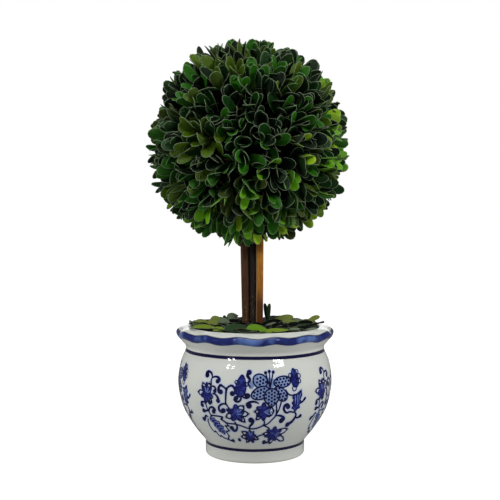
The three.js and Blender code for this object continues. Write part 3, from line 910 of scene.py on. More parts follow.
def stick_mesh(low, high, radius, ridge_depth, seed, knots=()):
    """A tapering stick with ridges along its grain. A knot is (height, bearing, size, rise)."""
    draws = np.random.default_rng(seed)
    height = np.linspace(STICK_FOOT, STICK_TIP, STICK_ROWS)
    share = ((height - STICK_LOW) / (STICK_HIGH - STICK_LOW))[:, None]
    turn = (np.arange(STICK_SIDES) * 2 * np.pi / STICK_SIDES)[None, :]
    relief = np.zeros((STICK_ROWS, STICK_SIDES))
    for _ in range(RIDGES):
        waves = draws.integers(*RIDGE_WAVES)
        length = draws.uniform(*RIDGE_LENGTHS)
        first, second = draws.uniform(0, 2 * np.pi, 2)
        drift = RIDGE_DRIFT * np.sin(height / length + second)[:, None]
        relief += np.sin(waves * turn + first + RIDGE_SWING * drift) / waves**0.5
    relief *= ridge_depth / np.abs(relief).max()
    for knot_height, knot_bearing, size, rise in knots:
        around = np.angle(np.exp(1j * (turn - math.radians(knot_bearing)))) * radius[0]
        along = (height - knot_height)[:, None]
        relief += rise * np.exp(-((around / size) ** 2 + (along / size / KNOT_STRETCH) ** 2))
    reach = radius[0] + (radius[1] - radius[0]) * share + relief
    x = low[0] + (high[0] - low[0]) * share + reach * np.cos(turn)
    y = low[1] + (high[1] - low[1]) * share + reach * np.sin(turn)
    z = np.broadcast_to(height[:, None], x.shape)
    body = np.stack([x, y, z], 2).reshape(-1, 3)
    faces = rows_of_faces(STICK_ROWS, STICK_SIDES)
    faces.append(tuple(range(STICK_SIDES - 1, -1, -1)))
    faces.append(tuple((STICK_ROWS - 1) * STICK_SIDES + j for j in range(STICK_SIDES)))
    return body, faces


# %% [markdown]
# Wood shows long streaks, so its noise is stretched along the stick. One shader group makes the
# streaks and fine pits for all three, and each stick sets its own colours. The golden stick turns
# red-brown towards its foot. Its pale streak on the left is a painted highlight, and the dark stick
# has a lighter painted highlight down its left side too.

# %% Shader group: wood streaks
wood_group, given, result = new_group(
    "wood_streaks", {"Streak Size": 1.0, "Stretch": 0.06},
    {"Streaks": NUMBER, "Patches": NUMBER, "Flecks": NUMBER, "Height": NUMBER})
work = partial(calculate, wood_group)
place = object_place(wood_group)
stretch = add_node(wood_group, "ShaderNodeCombineXYZ", [1.0, 1.0, given["Stretch"]])[0]
drawn_out = add_node(wood_group, "ShaderNodeVectorMath", [place, stretch], operation="MULTIPLY")[0]
streaks = noise(wood_group, work("DIVIDE", METRE, given["Streak Size"]), 5.0, drawn_out, 0.65)
pits = noise(wood_group, 2600.0, 2.0, drawn_out)
set_inputs(result, {
    "Streaks": spread(wood_group, streaks, 0.35, 0.65),
    "Patches": spread(wood_group, noise(wood_group, 130.0, 3.0), 0.38, 0.62),
    "Flecks": spread(wood_group, noise(wood_group, 1100.0, 2.0), 0.6, 0.68),
    "Height": work("ADD", streaks, work("MULTIPLY", pits, 0.4)),
})

# %% Wood materials
FLECK_FADE = (150.0, 122.0)
FLECK_COLOUR = paint(168, 146, 112)
PATCH_SHARE = 0.55
WOOD_SPECULAR = 0.2
WOOD_RELIEF = (0.6, 0.4)


def share_along(tree, axis, none, full):
    """0 at one place along an axis, in mm, and 1 at another."""
    spot = add_node(tree, "ShaderNodeSeparateXYZ", [object_place(tree)])
    return spread(tree, spot[axis], none * MM, full * MM)


def wood_material(name, dark, light, patch, roughness):
    """A stick's finish, and its tree, shader and colour for changes."""
    material, tree, shader = new_material(name)
    wood = group_node(tree, wood_group, streak_size=1.1, stretch=0.05)
    colour = mix_colours(tree, wood["Streaks"], dark, light)
    some = calculate(tree, "MULTIPLY", wood["Patches"], PATCH_SHARE)
    colour = mix_colours(tree, some, colour, patch)
    flecks = calculate(tree, "MULTIPLY", wood["Flecks"], share_along(tree, "Z", *FLECK_FADE))
    colour = mix_colours(tree, flecks, colour, FLECK_COLOUR)
    set_finish(shader, colour, roughness, WOOD_SPECULAR, (wood["Height"], *WOOD_RELIEF))
    return material, tree, shader, colour


brown_wood = wood_material("brown_bark", paint(38, 22, 12), paint(98, 64, 42), paint(68, 43, 25), 0.7)[0]

dark_wood, tree, shader, colour = wood_material(
    "dark_bark", paint(12, 9, 8), paint(52, 42, 38), paint(28, 20, 18), 0.65)
# Painted highlight: a lighter streak down the dark stick's left side, where its ridge catches the light
colour = mix_colours(tree, share_along(tree, "X", -5.0, -6.2), colour, paint(84, 72, 72))
set_inputs(shader, {"Base Color": colour})

golden_wood, tree, shader, colour = wood_material(
    "golden_wood", paint(122, 70, 18), paint(202, 142, 54), paint(162, 98, 28), 0.55)
colour = mix_colours(tree, share_along(tree, "Z", 140.0, 154.0), paint(100, 55, 20), colour)
# Painted highlight: a pale streak down the golden stick's left side
painted_highlight_edge = calculate(tree, "MULTIPLY", share_along(tree, "X", 2.2, 1.3), 0.8)
colour = mix_colours(tree, painted_highlight_edge, colour, paint(190, 160, 116))
set_inputs(shader, {"Base Color": colour})

# Each stick: its piece, slot and finish, the depth of its ridges, their seed and its knots
STICK_FINISH = {
    "stick_left": ("brown_stick", "stick_brown", brown_wood, 0.35, 3, [(188.0, 250.0, 1.6, 0.3)]),
    "stick_middle": ("dark_stick", "stick_dark", dark_wood, 0.25, 5, [(160.0, 250.0, 1.5, 0.3)]),
    "stick_right": ("golden_stick", "stick_golden", golden_wood, 0.22, 8, [(167.0, 285.0, 1.8, 0.45)]),
}
for node_name, (piece_name, slot, material, ridge_depth, seed, knots) in STICK_FINISH.items():
    points, faces = stick_mesh(**STICKS[node_name], ridge_depth=ridge_depth, seed=seed, knots=knots)
    place_piece(new_piece(piece_name, points, faces, material), slot, node_name)

# %% [markdown]
# ## Foam in the pot
#
# Dry foam holds the sticks. It is almost out of sight below the loose leaves, so its own solid
# stays, with a dull green-brown finish that is grainy like crumbled foam.

# %% Foam finish
foam_finish = grainy_material(
    "crumbly_foam", 700.0, paint(44, 48, 28), paint(84, 84, 52), 0.95, relief=(0.8, 1.0))
foam = frame["nodes"]["potting_foam"]
foam.data.materials.clear()
foam.data.materials.append(foam_finish)

# %% [markdown]
# ## Box leaves
#
# A box leaf is a small spoon: a narrow foot, a round tip, a hollow upper face and a rolled edge
# that catches the light, its pale colour a painted highlight. The whole ball repeats this one shape,
# so it has 64 faces. Each face carries the number of its part, upper face, underside or rolled
# edge, and gets its finish by that number. Four forms, from flat to deeply hollow, keep the ball
# from looking stamped.

# %% Leaf templates, one unit long and one unit wide
LEAF_ROWS = (0.0, 0.08, 0.22, 0.4, 0.58, 0.74, 0.87, 0.96)
LEAF_WIDEST = 0.6
LEAF_FOOT = 0.09
LEAF_PROPORTION = 0.46
ROLL_WIDTH = 0.026
ROLL_THICK = 0.022
BLADE_THICK = 0.012
LEAF_FORMS = (
    dict(hollow=0.13, spoon=0.1, fold=0.03),
    dict(hollow=0.2, spoon=0.2, fold=0.05),
    dict(hollow=0.06, spoon=-0.14, fold=0.06),
    dict(hollow=0.27, spoon=0.02, fold=0.0),
)
UPPER, UNDER, ROLL = 0, 1, 2


def half_width(t):
    """Half the leaf's width at a share of its length, as a share of the full width."""
    below = np.sin(np.pi / 2 * np.clip(t / LEAF_WIDEST, 0, 1)) ** 0.9
    above = np.sqrt(1 - np.clip((t - LEAF_WIDEST) / (1 - LEAF_WIDEST), 0, 1) ** 2.6)
    return 0.5 * np.where(t < LEAF_WIDEST, np.maximum(below, LEAF_FOOT), above)


def leaf_height(across, t, form):
    """How far the leaf's upper face rises: its hollow, its spoon-shaped length and its fold."""
    along = np.sin(np.pi * np.clip(t, 0.05, 0.97)) ** 0.5
    bowl = form["hollow"] * (2 * across) ** 2 * along
    return bowl + form["spoon"] * t**2 + form["fold"] * np.abs(2 * across)


def welded(points, faces):
    """The same shape with points that share a place made one."""
    spots, numbers = np.unique(np.round(points, 6), axis=0, return_inverse=True)
    numbers = numbers.ravel()
    return spots, [tuple(int(numbers[v]) for v in face) for face in faces]


def leaf_template(form):
    """Points, faces and parts of one leaf: two sheets that meet in a rolled edge."""
    rows = np.array(LEAF_ROWS)
    count = len(rows)
    last = 2 * count
    right = np.stack([half_width(rows), rows], 1)
    outline = np.vstack([right, [(0.0, 1.0)], right[::-1] * (-1, 1)])
    true_shape = outline * (LEAF_PROPORTION, 1.0)
    ahead = np.gradient(true_shape, axis=0)
    inward = np.stack([-ahead[:, 1], ahead[:, 0]], 1) / np.hypot(*ahead.T)[:, None]
    inner = (true_shape + inward * ROLL_WIDTH * LEAF_PROPORTION) / (LEAF_PROPORTION, 1.0)
    inner[[0, last]] = outline[[0, last]] * 0.5
    points = [(x, y, 0.0) for x, y in outline]
    faces, parts = [], []
    for side, part in ((1, UPPER), (-1, UNDER)):
        edge = len(points)
        lifts = np.full(last + 1, side * ROLL_THICK)
        lifts[[0, last]] = 0
        points.extend([(x, y, lift) for (x, y), lift in zip(inner, lifts)])
        rib = len(points)
        points.extend([(0.0, t, side * BLADE_THICK * (t > 0)) for t in rows])
        rolls = [(i, i + 1, edge + i + 1, edge + i) for i in range(last)]
        sheet = []
        for i in range(count - 1):
            sheet.append((rib + i, edge + i, edge + i + 1, rib + i + 1))
            sheet.append((edge + last - i, rib + i, rib + i + 1, edge + last - i - 1))
        sheet.append((rib + count - 1, edge + count - 1, edge + count))
        sheet.append((edge + count + 1, rib + count - 1, edge + count))
        faces.extend([face[::side] for face in rolls + sheet])
        parts.extend([ROLL] * len(rolls) + [part] * len(sheet))
    points = np.array(points)
    points[:, 2] += leaf_height(points[:, 0], points[:, 1], form)
    return (*welded(points, faces), parts)


leaf_templates = bpy.data.collections.new("leaf_templates")
scene.collection.children.link(leaf_templates)
template_points = []
for number, form in enumerate(LEAF_FORMS):
    points, faces, parts = leaf_template(form)
    mesh = bpy.data.meshes.new(f"leaf_form_{number}")
    mesh.from_pydata((points * MM).tolist(), [], faces)
    mesh.attributes.new("part", "INT", "FACE").data.foreach_set("value", parts)
    mesh.shade_smooth()
    leaf_templates.objects.link(bpy.data.objects.new(f"leaf_form_{number}", mesh))
    template_points.append(points)
print("faces of one leaf:", len(faces))

# %% [markdown]
# Geometry Nodes put the leaves in place. Every leaf is a point that carries its turn, its size and
# the number of its form. The tree sets a template on each point, makes the copies real and deals
# out three materials by the number of the part. Joined meshes from arrays would do as well, but
# the tree keeps the leaf's shape and the list of places apart.


# %% Geometry Nodes: leaves on points
CARRIED = {"turn": "FLOAT_VECTOR", "size": "FLOAT_VECTOR", "form": "INT", "part": "INT"}
LEAF_PARTS = {"Upper Face": UPPER, "Underside": UNDER, "Rolled Edge": ROLL}


def geometry_tree(name, inputs):
    """A tree from a geometry and named inputs to a geometry, and what comes in."""
    tree = bpy.data.node_groups.new(name, "GeometryNodeTree")
    tree.interface.new_socket("Geometry", in_out="OUTPUT", socket_type="NodeSocketGeometry")
    for label, kind in {"Geometry": "Geometry", **inputs}.items():
        tree.interface.new_socket(label, in_out="INPUT", socket_type="NodeSocket" + kind)
    return tree, tree.nodes.new("NodeGroupInput").outputs


def leaf_tree():
    """The tree that sets leaves on points and deals out their materials."""
    materials = dict.fromkeys(LEAF_PARTS, "Material")
    tree, given = geometry_tree("leaves_on_points", {"Leaves": "Collection", **materials})
    carried = {}
    for label, kind in CARRIED.items():
        named = add_node(tree, "GeometryNodeInputNamedAttribute", {"Name": label}, data_type=kind)
        carried[label] = named["Attribute"]
    leaves = add_node(tree, "GeometryNodeCollectionInfo", {
        "Collection": given["Leaves"], "Separate Children": True, "Reset Children": True})[0]
    done = add_node(tree, "GeometryNodeInstanceOnPoints", {
        "Points": given["Geometry"],
        "Instance": leaves,
        "Pick Instance": True,
        "Instance Index": carried["form"],
        "Rotation": add_node(tree, "FunctionNodeEulerToRotation", [carried["turn"]])[0],
        "Scale": carried["size"],
    })[0]
    done = add_node(tree, "GeometryNodeRealizeInstances", {"Geometry": done})[0]
    for label, number in LEAF_PARTS.items():
        chosen = calculate(tree, "COMPARE", carried["part"], number, 0.5)
        done = add_node(tree, "GeometryNodeSetMaterial", {
            "Geometry": done, "Selection": chosen, "Material": given[label]})[0]
    add_node(tree, "NodeGroupOutput", [done])
    return tree


def made_by_tree(name, holder_mesh, tree, values):
    """Runs a tree on a mesh with named values and gives back its result as a plain mesh piece."""
    holder = add_object(holder_mesh.name, holder_mesh)
    modifier = holder.modifiers.new("grow", "NODES")
    modifier.node_group = tree
    for item in tree.interface.items_tree:
        if item.in_out == "INPUT" and item.name in values:
            modifier[item.identifier] = values[item.name]
    bpy.context.view_layer.update()
    shape = holder.evaluated_get(bpy.context.evaluated_depsgraph_get())
    mesh = bpy.data.meshes.new_from_object(shape)
    mesh.name = name
    for label in CARRIED:
        if label in mesh.attributes:
            mesh.attributes.remove(mesh.attributes[label])
    holder.modifiers.remove(modifier)
    bpy.data.objects.remove(holder)
    mesh.shade_smooth()
    return add_object(name, mesh)


leaves_on_points = leaf_tree()


# %% Leaves from a list
def leaf_axes(direction, facing):
    """Across, along and upper side of a leaf that lies along a direction with its face to one side."""
    ahead = direction / np.linalg.norm(direction)
    across = np.cross(ahead, facing)
    across /= np.linalg.norm(across)
    return np.stack([across, ahead, np.cross(across, ahead)], 1)


def euler_of(matrix):
    """Angles about X, Y and Z for a turn given as a matrix."""
    lean = math.atan2(matrix[2, 1], matrix[2, 2])
    tip = -math.asin(max(-1.0, min(1.0, matrix[2, 0])))
    spin = math.atan2(matrix[1, 0], matrix[0, 0])
    return (lean, tip, spin)


def leaf_spots(leaf):
    """Every point of a leaf, which is (root, direction, facing, length, width, form)."""
    root, direction, facing, length, width, form = leaf
    return root + (template_points[form] * (width, length, width)) @ leaf_axes(direction, facing).T


def leaf_piece(name, leaves, upper, under, roll):
    """One piece with all the leaves of a list."""
    mesh = bpy.data.meshes.new(name + "_points")
    mesh.from_pydata([tuple(np.array(leaf[0]) * MM) for leaf in leaves], [], [])
    carried = {
        "turn": [euler_of(leaf_axes(leaf[1], leaf[2])) for leaf in leaves],
        "size": [(leaf[4], leaf[3], leaf[4]) for leaf in leaves],
        "form": [leaf[5] for leaf in leaves],
    }
    for label, values in carried.items():
        stored = mesh.attributes.new(label, CARRIED[label], "POINT").data
        stored.foreach_set("value" if label == "form" else "vector", np.ravel(values).tolist())
    return made_by_tree(name, mesh, leaves_on_points, {
        "Leaves": leaf_templates, "Upper Face": upper, "Underside": under, "Rolled Edge": roll})


# %% [markdown]
# Leaf colours are plain base colours, one material for each tint, dealt out by spray. The underside
# is a little greyer than the upper face, and the rolled edge is paler still as a painted highlight.
# The surface group adds only a fine grain and an uneven gloss, as a dried leaf has.

# %% Leaf finishes
leaf_group, given, result = new_group(
    "leaf_surface", {"Gloss Low": 0.35, "Gloss High": 0.6}, {"Roughness": NUMBER, "Height": NUMBER})
worn = noise(leaf_group, 160.0, 2.0)
set_inputs(result, {
    "Roughness": spread(leaf_group, worn, 0.35, 0.65, given["Gloss Low"], given["Gloss High"]),
    "Height": noise(leaf_group, 620.0, 3.0),
})

LEAF_SPECULAR = 0.2
LITTER_SPECULAR = 0.07
LEAF_RELIEF = (0.7, 0.7)


def leaf_material(name, colour, gloss=(0.36, 0.6), shine=LEAF_SPECULAR):
    """A leaf finish in one tint, with its least and its most roughness."""
    material, tree, shader = new_material(name)
    surface = group_node(tree, leaf_group, gloss_low=gloss[0], gloss_high=gloss[1])
    set_finish(shader, colour, surface["Roughness"], shine, (surface["Height"], *LEAF_RELIEF))
    return material


def faded(tint, grey, share):
    """A tint drawn towards a greyer one."""
    return tuple(a + (b - a) * share for a, b in zip(tint, grey))


# Each tint's colour and its share among the leaves
LEAF_TINTS = {
    "deep_green": (paint(6, 25, 6), 27),
    "forest_green": (paint(13, 52, 8), 25),
    "blue_green": (paint(12, 36, 18), 9),
    "mid_green": (paint(40, 102, 12), 18),
    "bright_green": (paint(100, 164, 18), 11),
    "lime_green": (paint(150, 192, 34), 4),
    "olive_green": (paint(70, 96, 14), 7),
    "tan_olive": (paint(56, 70, 20), 3),
}
UNDERSIDE_GREY = paint(58, 72, 48)
UNDERSIDE_SHARE = 0.25
# Painted highlight: each tint's rolled edge is drawn towards a pale grey-green, for the light that the edge
# catches
EDGE_HIGHLIGHT_GREY = paint(140, 156, 124)
EDGE_HIGHLIGHT_SHARE = 0.64
leaf_finishes = {}
for tint, (colour, _) in LEAF_TINTS.items():
    grey = faded(colour, UNDERSIDE_GREY, UNDERSIDE_SHARE)
    pale = faded(colour, EDGE_HIGHLIGHT_GREY, EDGE_HIGHLIGHT_SHARE)
    leaf_finishes[tint] = (
        leaf_material(tint, colour),
        leaf_material(tint + "_underside", grey, (0.6, 0.8)),
        leaf_material(tint + "_edge", pale, (0.45, 0.65)),
    )

# %% [markdown]
# ## The foliage ball
#
# The source grows stems on a spiral over a core, and sets leaves on each in crossed pairs, the
# upper ones steep and the lower ones spread. The same rule runs here with the same seed, and is
# carried on: every stem branches into finer twigs, the twigs end evenly all over the ball, and
# each carries three pairs of spoon-shaped leaves that point outwards. A leaf that would reach out
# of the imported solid's box is moved in, and one that would touch a stick is made smaller.

# %% The source's rule
BALL_CENTRE = np.array([-6.4, 0.0, 288.2])
BALL_RADIUS = 94.2
CORE_RADIUS = 62.0
STEMS = 56
STEM_TILT = 0.2
SEED = 20117
GOLDEN_TURN = math.pi * (3 - math.sqrt(5))


def seeded(seed):
    """The source's small generator of random numbers."""
    state = seed
    while True:
        state = (state * 1664525 + 1013904223) & 0xFFFFFFFF
        yield state / 4294967296


def between(low_high, share):
    """A value between two others."""
    return low_high[0] + (low_high[1] - low_high[0]) * share


def spiral_direction(i, count):
    """Evenly spread directions on a spiral over the sphere."""
    height = 1 - 2 * (i + 0.5) / count
    ring = math.sqrt(1 - height * height)
    turn = i * GOLDEN_TURN
    return np.array([ring * math.cos(turn), ring * math.sin(turn), height])


def unit(vector):
    """The same direction, one unit long."""
    return np.asarray(vector) / np.linalg.norm(vector)


def jittered(direction, tilt, draw):
    """A direction moved a little by three draws."""
    shift = np.array([next(draw) - 0.5, next(draw) - 0.5, next(draw) - 0.5])
    return unit(direction + shift * tilt)


def turned_about(vector, axis, angle):
    """A vector at right angles to an axis, turned about it."""
    return vector * math.cos(angle) + np.cross(axis, vector) * math.sin(angle)


def stick_gap(spots):
    """How far the nearest of some points is from the skin of a stick."""
    spots = spots[spots[:, 2] < STICK_TIP]
    gaps = [1e3]
    for stick in STICKS.values():
        t = (spots[:, 2:3] - STICK_LOW) / (STICK_HIGH - STICK_LOW)
        low, high, radius = np.array(stick["low"]), np.array(stick["high"]), stick["radius"]
        skin = radius[0] + (radius[1] - radius[0]) * t[:, 0]
        gaps.extend(np.hypot(*(spots[:, :2] - low - (high - low) * t).T) - skin)
    return min(gaps)


# %% Sizes of twigs and leaves
TWIGS = 286
TWIG_TILT = 0.115
TWIG_DROP = (-0.6, 8.4)
TIP_BELOW = 11.0
POLE_FILL = 0.9
LOW_SPAN = (-0.15, -1.0)
LOW_REACH = 1.8
FOOT_REACH = 1.0
STICK_ROOM = 3.0
STICKS_MIDDLE = np.array([-2.6, 1.0])
STEM_SPAN = (56.0, 68.0)
PAIRS = (
    dict(length=26.0, width=11.8, spread=7, inside=0.0),
    dict(length=28.0, width=12.6, spread=19, inside=3.0),
    dict(length=28.5, width=13.0, spread=34, inside=9.0),
)
TURN_SPREAD = (-0.8, 0.8)
LEAN_SPREAD = (-10.0, 17.0)
INSIDE_SPREAD = (0.2, 1.8)
SIZE_SPREAD = (0.84, 1.08)
WIDTH_SPREAD = (0.7, 1.02)
ROLL_SPREAD = (-0.9, 0.9)
# The largest leaves are the stray ones that stand out of the clipped ball
LONG_LEAF = 1.035
LONG_REACH = 3.6
SPRAY_SHARE = 0.5
LEAF_OFFSET = 0.4
LEAF_SHARES = (1.0, 0.86, 0.72)
LIMB_MARGIN = 0.8
BOX_MARGIN = 0.3
# Tints are lighter low down and to the right as painted light, and darker on one shoulder as painted shade;
# that shoulder also has more olive leaves
OLIVE_SIDE = unit((-0.7, -0.3, 0.65))
OLIVE_NEAR = 0.55
OLIVE_SHARE = 0.22
TAN_FROM = 0.6
LOW_PAINTED_LIGHT = 0.65
SHOULDER_PAINTED_SHADE = 0.45
RIGHT_PAINTED_LIGHT = 0.4
SHOULDER_TINTS = {"lime_green": "olive_green", "bright_green": "mid_green"}
LIME_LIMIT = 0.1
# One twig more closes a hole that the spiral leaves to the right of the ball's middle
GAP_TWIG = unit((0.27, -0.955, -0.09))
# A twig forks from its stem, is pulled towards it at its knee and then runs straight out
FORK_SHARE = 0.8
KNEE_REACH = 71.0
KNEE_PULL = 8.0
STRAIGHT_REACH = 77.0
ASIDE_STEPS = 40
ASIDE_STEP = 0.01
tint_names = list(LEAF_TINTS)
tint_steps = np.cumsum([share for _, share in LEAF_TINTS.values()])
box_low = np.array(cad_low) / MM + BOX_MARGIN
box_high = np.array(cad_high) / MM - BOX_MARGIN


# %% Leaves of a twig
def root_height(length, lean, reach):
    """How high on its twig a leaf roots, so that its tip ends at a given reach."""
    return math.sqrt(reach**2 - (length * math.sin(lean)) ** 2) - length * math.cos(lean)


def pick_tint(axis, draw):
    """A tint by its share, with painted light low down and to the right and painted shade on one shoulder.
    That shoulder has more olive leaves.
    """
    shoulder = axis @ OLIVE_SIDE
    # Painted light and shade: the share is raised low down and to the right, and lowered on the olive
    # shoulder
    lift = LOW_PAINTED_LIGHT * max(-axis[2], 0) + RIGHT_PAINTED_LIGHT * max(axis[0], 0) - SHOULDER_PAINTED_SHADE * max(shoulder, 0)
    share = next(draw) ** (1 - lift)
    if next(draw) < OLIVE_SHARE and shoulder > OLIVE_NEAR:
        return "olive_green" if share < TAN_FROM else "tan_olive"
    tint = tint_names[int(np.searchsorted(tint_steps, share * tint_steps[-1]))]
    return SHOULDER_TINTS.get(tint, tint) if shoulder > LIME_LIMIT else tint


def low_bulge(axis):
    """How much further the leaves reach below the ball's waist, where it is fuller than a sphere."""
    share = np.clip((axis[2] - LOW_SPAN[0]) / (LOW_SPAN[1] - LOW_SPAN[0]), 0, 1)
    return LOW_REACH * math.sin(math.pi * share) + FOOT_REACH * share


def twig_leaves(axis, drop, draw):
    """Leaves in crossed pairs on one twig, each with its tint."""
    side = unit(np.cross((axis[1], axis[2], axis[0]), axis))
    first = next(draw) * 2 * math.pi
    spray_tint = pick_tint(axis, draw)
    found = []
    for pair, row in enumerate(PAIRS):
        tint = spray_tint if next(draw) < SPRAY_SHARE else pick_tint(axis, draw)
        for half in (0, 1):
            bearing = first + pair * math.pi / 2 + half * math.pi + between(TURN_SPREAD, next(draw))
            outward = turned_about(side, axis, bearing)
            lean = math.radians(row["spread"] + between(LEAN_SPREAD, next(draw)))
            direction = axis * math.cos(lean) + outward * math.sin(lean)
            facing = axis * math.sin(lean) - outward * math.cos(lean)
            facing = facing + np.cross(direction, facing) * between(ROLL_SPREAD, next(draw))
            size = between(SIZE_SPREAD, next(draw))
            length, width = row["length"] * size, row["width"] * size * between(WIDTH_SPREAD, next(draw))
            reach = BALL_RADIUS - drop - row["inside"] * between(INSIDE_SPREAD, next(draw))
            reach = reach + low_bulge(axis) + (LONG_REACH if size > LONG_LEAF else 0.0)
            root = BALL_CENTRE + axis * root_height(length, lean, reach) + outward * LEAF_OFFSET
            form = int(next(draw) * len(LEAF_FORMS))
            found.append((tint, (root, direction, facing, length, width, form)))
    return found


# %% Room for the sticks and the box
def cleared(leaf):
    """The leaf, smaller where a stick is in its way, or nothing if there is no room for it."""
    root, direction, facing, length, width, form = leaf
    for share in LEAF_SHARES:
        smaller = (root, direction, facing, length * share, width * share, form)
        if stick_gap(leaf_spots(smaller)) > LIMB_MARGIN:
            return smaller
    return None


def kept_in_box(leaf):
    """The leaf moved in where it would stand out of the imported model's box."""
    spots = leaf_spots(leaf)
    shift = np.maximum(box_low - spots.min(0), 0) - np.maximum(spots.max(0) - box_high, 0)
    return (leaf[0] + shift, *leaf[1:])


def beside_sticks(axis, reach):
    """A twig's direction, turned aside step by step until its tip is clear of the sticks."""
    for _ in range(ASIDE_STEPS):
        tip = BALL_CENTRE + axis * reach
        if axis[2] > 0 or stick_gap(np.array([tip])) > STICK_ROOM:
            break
        axis = unit(axis + ASIDE_STEP * unit([*(tip[:2] - STICKS_MIDDLE), 0]))
    return axis


# %% Grow the ball
draw = seeded(SEED)
stems = [jittered(spiral_direction(i, STEMS), STEM_TILT, draw) for i in range(STEMS)]
ball_leaves = {name: [] for name in tint_names}
stem_lines = [[BALL_CENTRE + stem * reach for reach in np.linspace(*STEM_SPAN, 4)] for stem in stems]
twig_lines = []
for i in range(TWIGS + 1):
    axis = jittered(spiral_direction(i, TWIGS), TWIG_TILT, draw) if i < TWIGS else GAP_TWIG
    drop = between(TWIG_DROP, next(draw)) * (1 - POLE_FILL * max(-axis[2], axis[2] ** 3))
    axis = beside_sticks(axis, BALL_RADIUS - TIP_BELOW)
    tip = BALL_CENTRE + axis * (BALL_RADIUS - drop - TIP_BELOW)
    stem = stems[int(np.argmax([axis @ s for s in stems]))]
    fork = BALL_CENTRE + stem * between(STEM_SPAN, FORK_SHARE)
    knee = BALL_CENTRE + axis * KNEE_REACH + (stem - axis) * KNEE_PULL
    twig_lines.append([fork, knee, BALL_CENTRE + axis * STRAIGHT_REACH, tip])
    for tint, leaf in twig_leaves(axis, drop, draw):
        leaf = cleared(leaf)
        if leaf:
            ball_leaves[tint].append(kept_in_box(leaf))
print("twigs:", len(twig_lines), "leaves:", sum(len(v) for v in ball_leaves.values()))

# %% Build the leaves
for tint, leaves in ball_leaves.items():
    piece = leaf_piece("ball_leaves_" + tint, leaves, *leaf_finishes[tint])
    replaced = ["foliage_ball"] if tint == "deep_green" else []
    place_piece(piece, "box_leaf", *replaced)

# %% [markdown]
# The stems and twigs are tubes along lines. Geometry Nodes turn each line into a curve and run a
# small ring along it, thinner towards the tip.


# %% Geometry Nodes: twigs along lines
TIP_SHARE = 0.55
LINE_STEPS = 6
STEM_TUBE = (1.9, 8)
TWIG_TUBE = (1.1, 6)


def twig_tree():
    """The tree that turns edges into tapering tubes."""
    inputs = {"Thickness": "Float", "Sides": "Int", "Material": "Material"}
    tree, given = geometry_tree("twigs_along_lines", inputs)
    lines = add_node(tree, "GeometryNodeMeshToCurve", {"Mesh": given["Geometry"]})[0]
    along = add_node(tree, "GeometryNodeSplineParameter")["Factor"]
    thick = calculate(tree, "MULTIPLY", spread(tree, along, 0.0, 1.0, 1.0, TIP_SHARE), given["Thickness"])
    shaped = add_node(tree, "GeometryNodeSetCurveRadius", {"Curve": lines, "Radius": thick})[0]
    ring = add_node(tree, "GeometryNodeCurvePrimitiveCircle", {
        "Resolution": given["Sides"], "Radius": 1.0})[0]
    tubes = add_node(tree, "GeometryNodeCurveToMesh", {
        "Curve": shaped, "Profile Curve": ring, "Fill Caps": True})[0]
    if "Scale" in tubes.node.inputs:
        set_inputs(tubes.node, {"Scale": thick})
    real = add_node(tree, "GeometryNodeRealizeInstances", {"Geometry": tubes})[0]
    done = add_node(tree, "GeometryNodeSetMaterial", {"Geometry": real, "Material": given["Material"]})[0]
    add_node(tree, "NodeGroupOutput", [done])
    return tree


def tube_piece(name, lines, thickness, sides, material):
    """One piece with a tapering tube along each line of a list."""
    points, edges = [], []
    for line in lines:
        start = len(points)
        points.extend((spline_points(line, LINE_STEPS) * MM).tolist())
        edges.extend([(i, i + 1) for i in range(start, len(points) - 1)])
    mesh = bpy.data.meshes.new(name + "_lines")
    mesh.from_pydata(points, edges, [])
    values = {"Thickness": thickness * MM, "Sides": sides, "Material": material}
    return made_by_tree(name, mesh, tubes_on_lines, values)


tubes_on_lines = twig_tree()
twig_wood = wood_material("twig_bark", paint(48, 42, 22), paint(84, 74, 40), paint(60, 62, 30), 0.75)[0]
place_piece(tube_piece("ball_stems", stem_lines, *STEM_TUBE, twig_wood), "box_leaf")
place_piece(tube_piece("ball_twigs", twig_lines, *TWIG_TUBE, twig_wood), "box_leaf")

# %% [markdown]
# Behind the leaves lies a rough core, coloured near-black as painted shade. It closes the view
# through the ball, so the gaps between sprays go black as they do in the photograph.

# %% Dark core
CORE_ROWS, CORE_SEGMENTS = 60, 96
CORE_SWELL = 0.006
CORE_WAVES = 24
CORE_SEED = 4
LUMPS = (6, 26)
ANY_PHASE = (0, 6.28)

# Painted shade: the core is near-black so that the gaps between sprays read as deep shade
shade_core_finish = grainy_material("dark_core", 240.0, paint(2, 4, 3), paint(12, 18, 8), 1.0, 0.0)
arc = np.linspace(-math.pi / 2, math.pi / 2, CORE_ROWS)
core_points, core_faces = turned_surface(CORE_RADIUS * np.stack([np.cos(arc), np.sin(arc)], 1), CORE_SEGMENTS)
core_waves = np.random.default_rng(CORE_SEED)
swell = np.zeros(len(core_points))
for _ in range(CORE_WAVES):
    direction = unit(core_waves.normal(size=3)) * core_waves.uniform(*LUMPS) / CORE_RADIUS
    swell += np.sin(core_points @ direction + core_waves.uniform(*ANY_PHASE))
core_points = core_points * (1 + CORE_SWELL * swell)[:, None] + BALL_CENTRE
place_piece(new_piece("ball_core", core_points, core_faces, shade_core_finish), "box_leaf")

# %% [markdown]
# ## Loose leaves on top of the pot
#
# Loose box leaves hide the foam. They lie in a low heap, mostly flat, in faded tints: olive and
# grey-green on the left, bright green in front, dark ones on the right. The leaves that the
# photograph shows one by one are listed, and a spiral with seeded turns fills in the rest.
# One leaf stands up beside the sticks and a dark leaf stalk pokes out at the right. The near-black
# leaves in the middle and on the right are painted shade between the loose leaves, and a bed of
# crumbs lies under them, near-black as painted shade, so no foam shows.

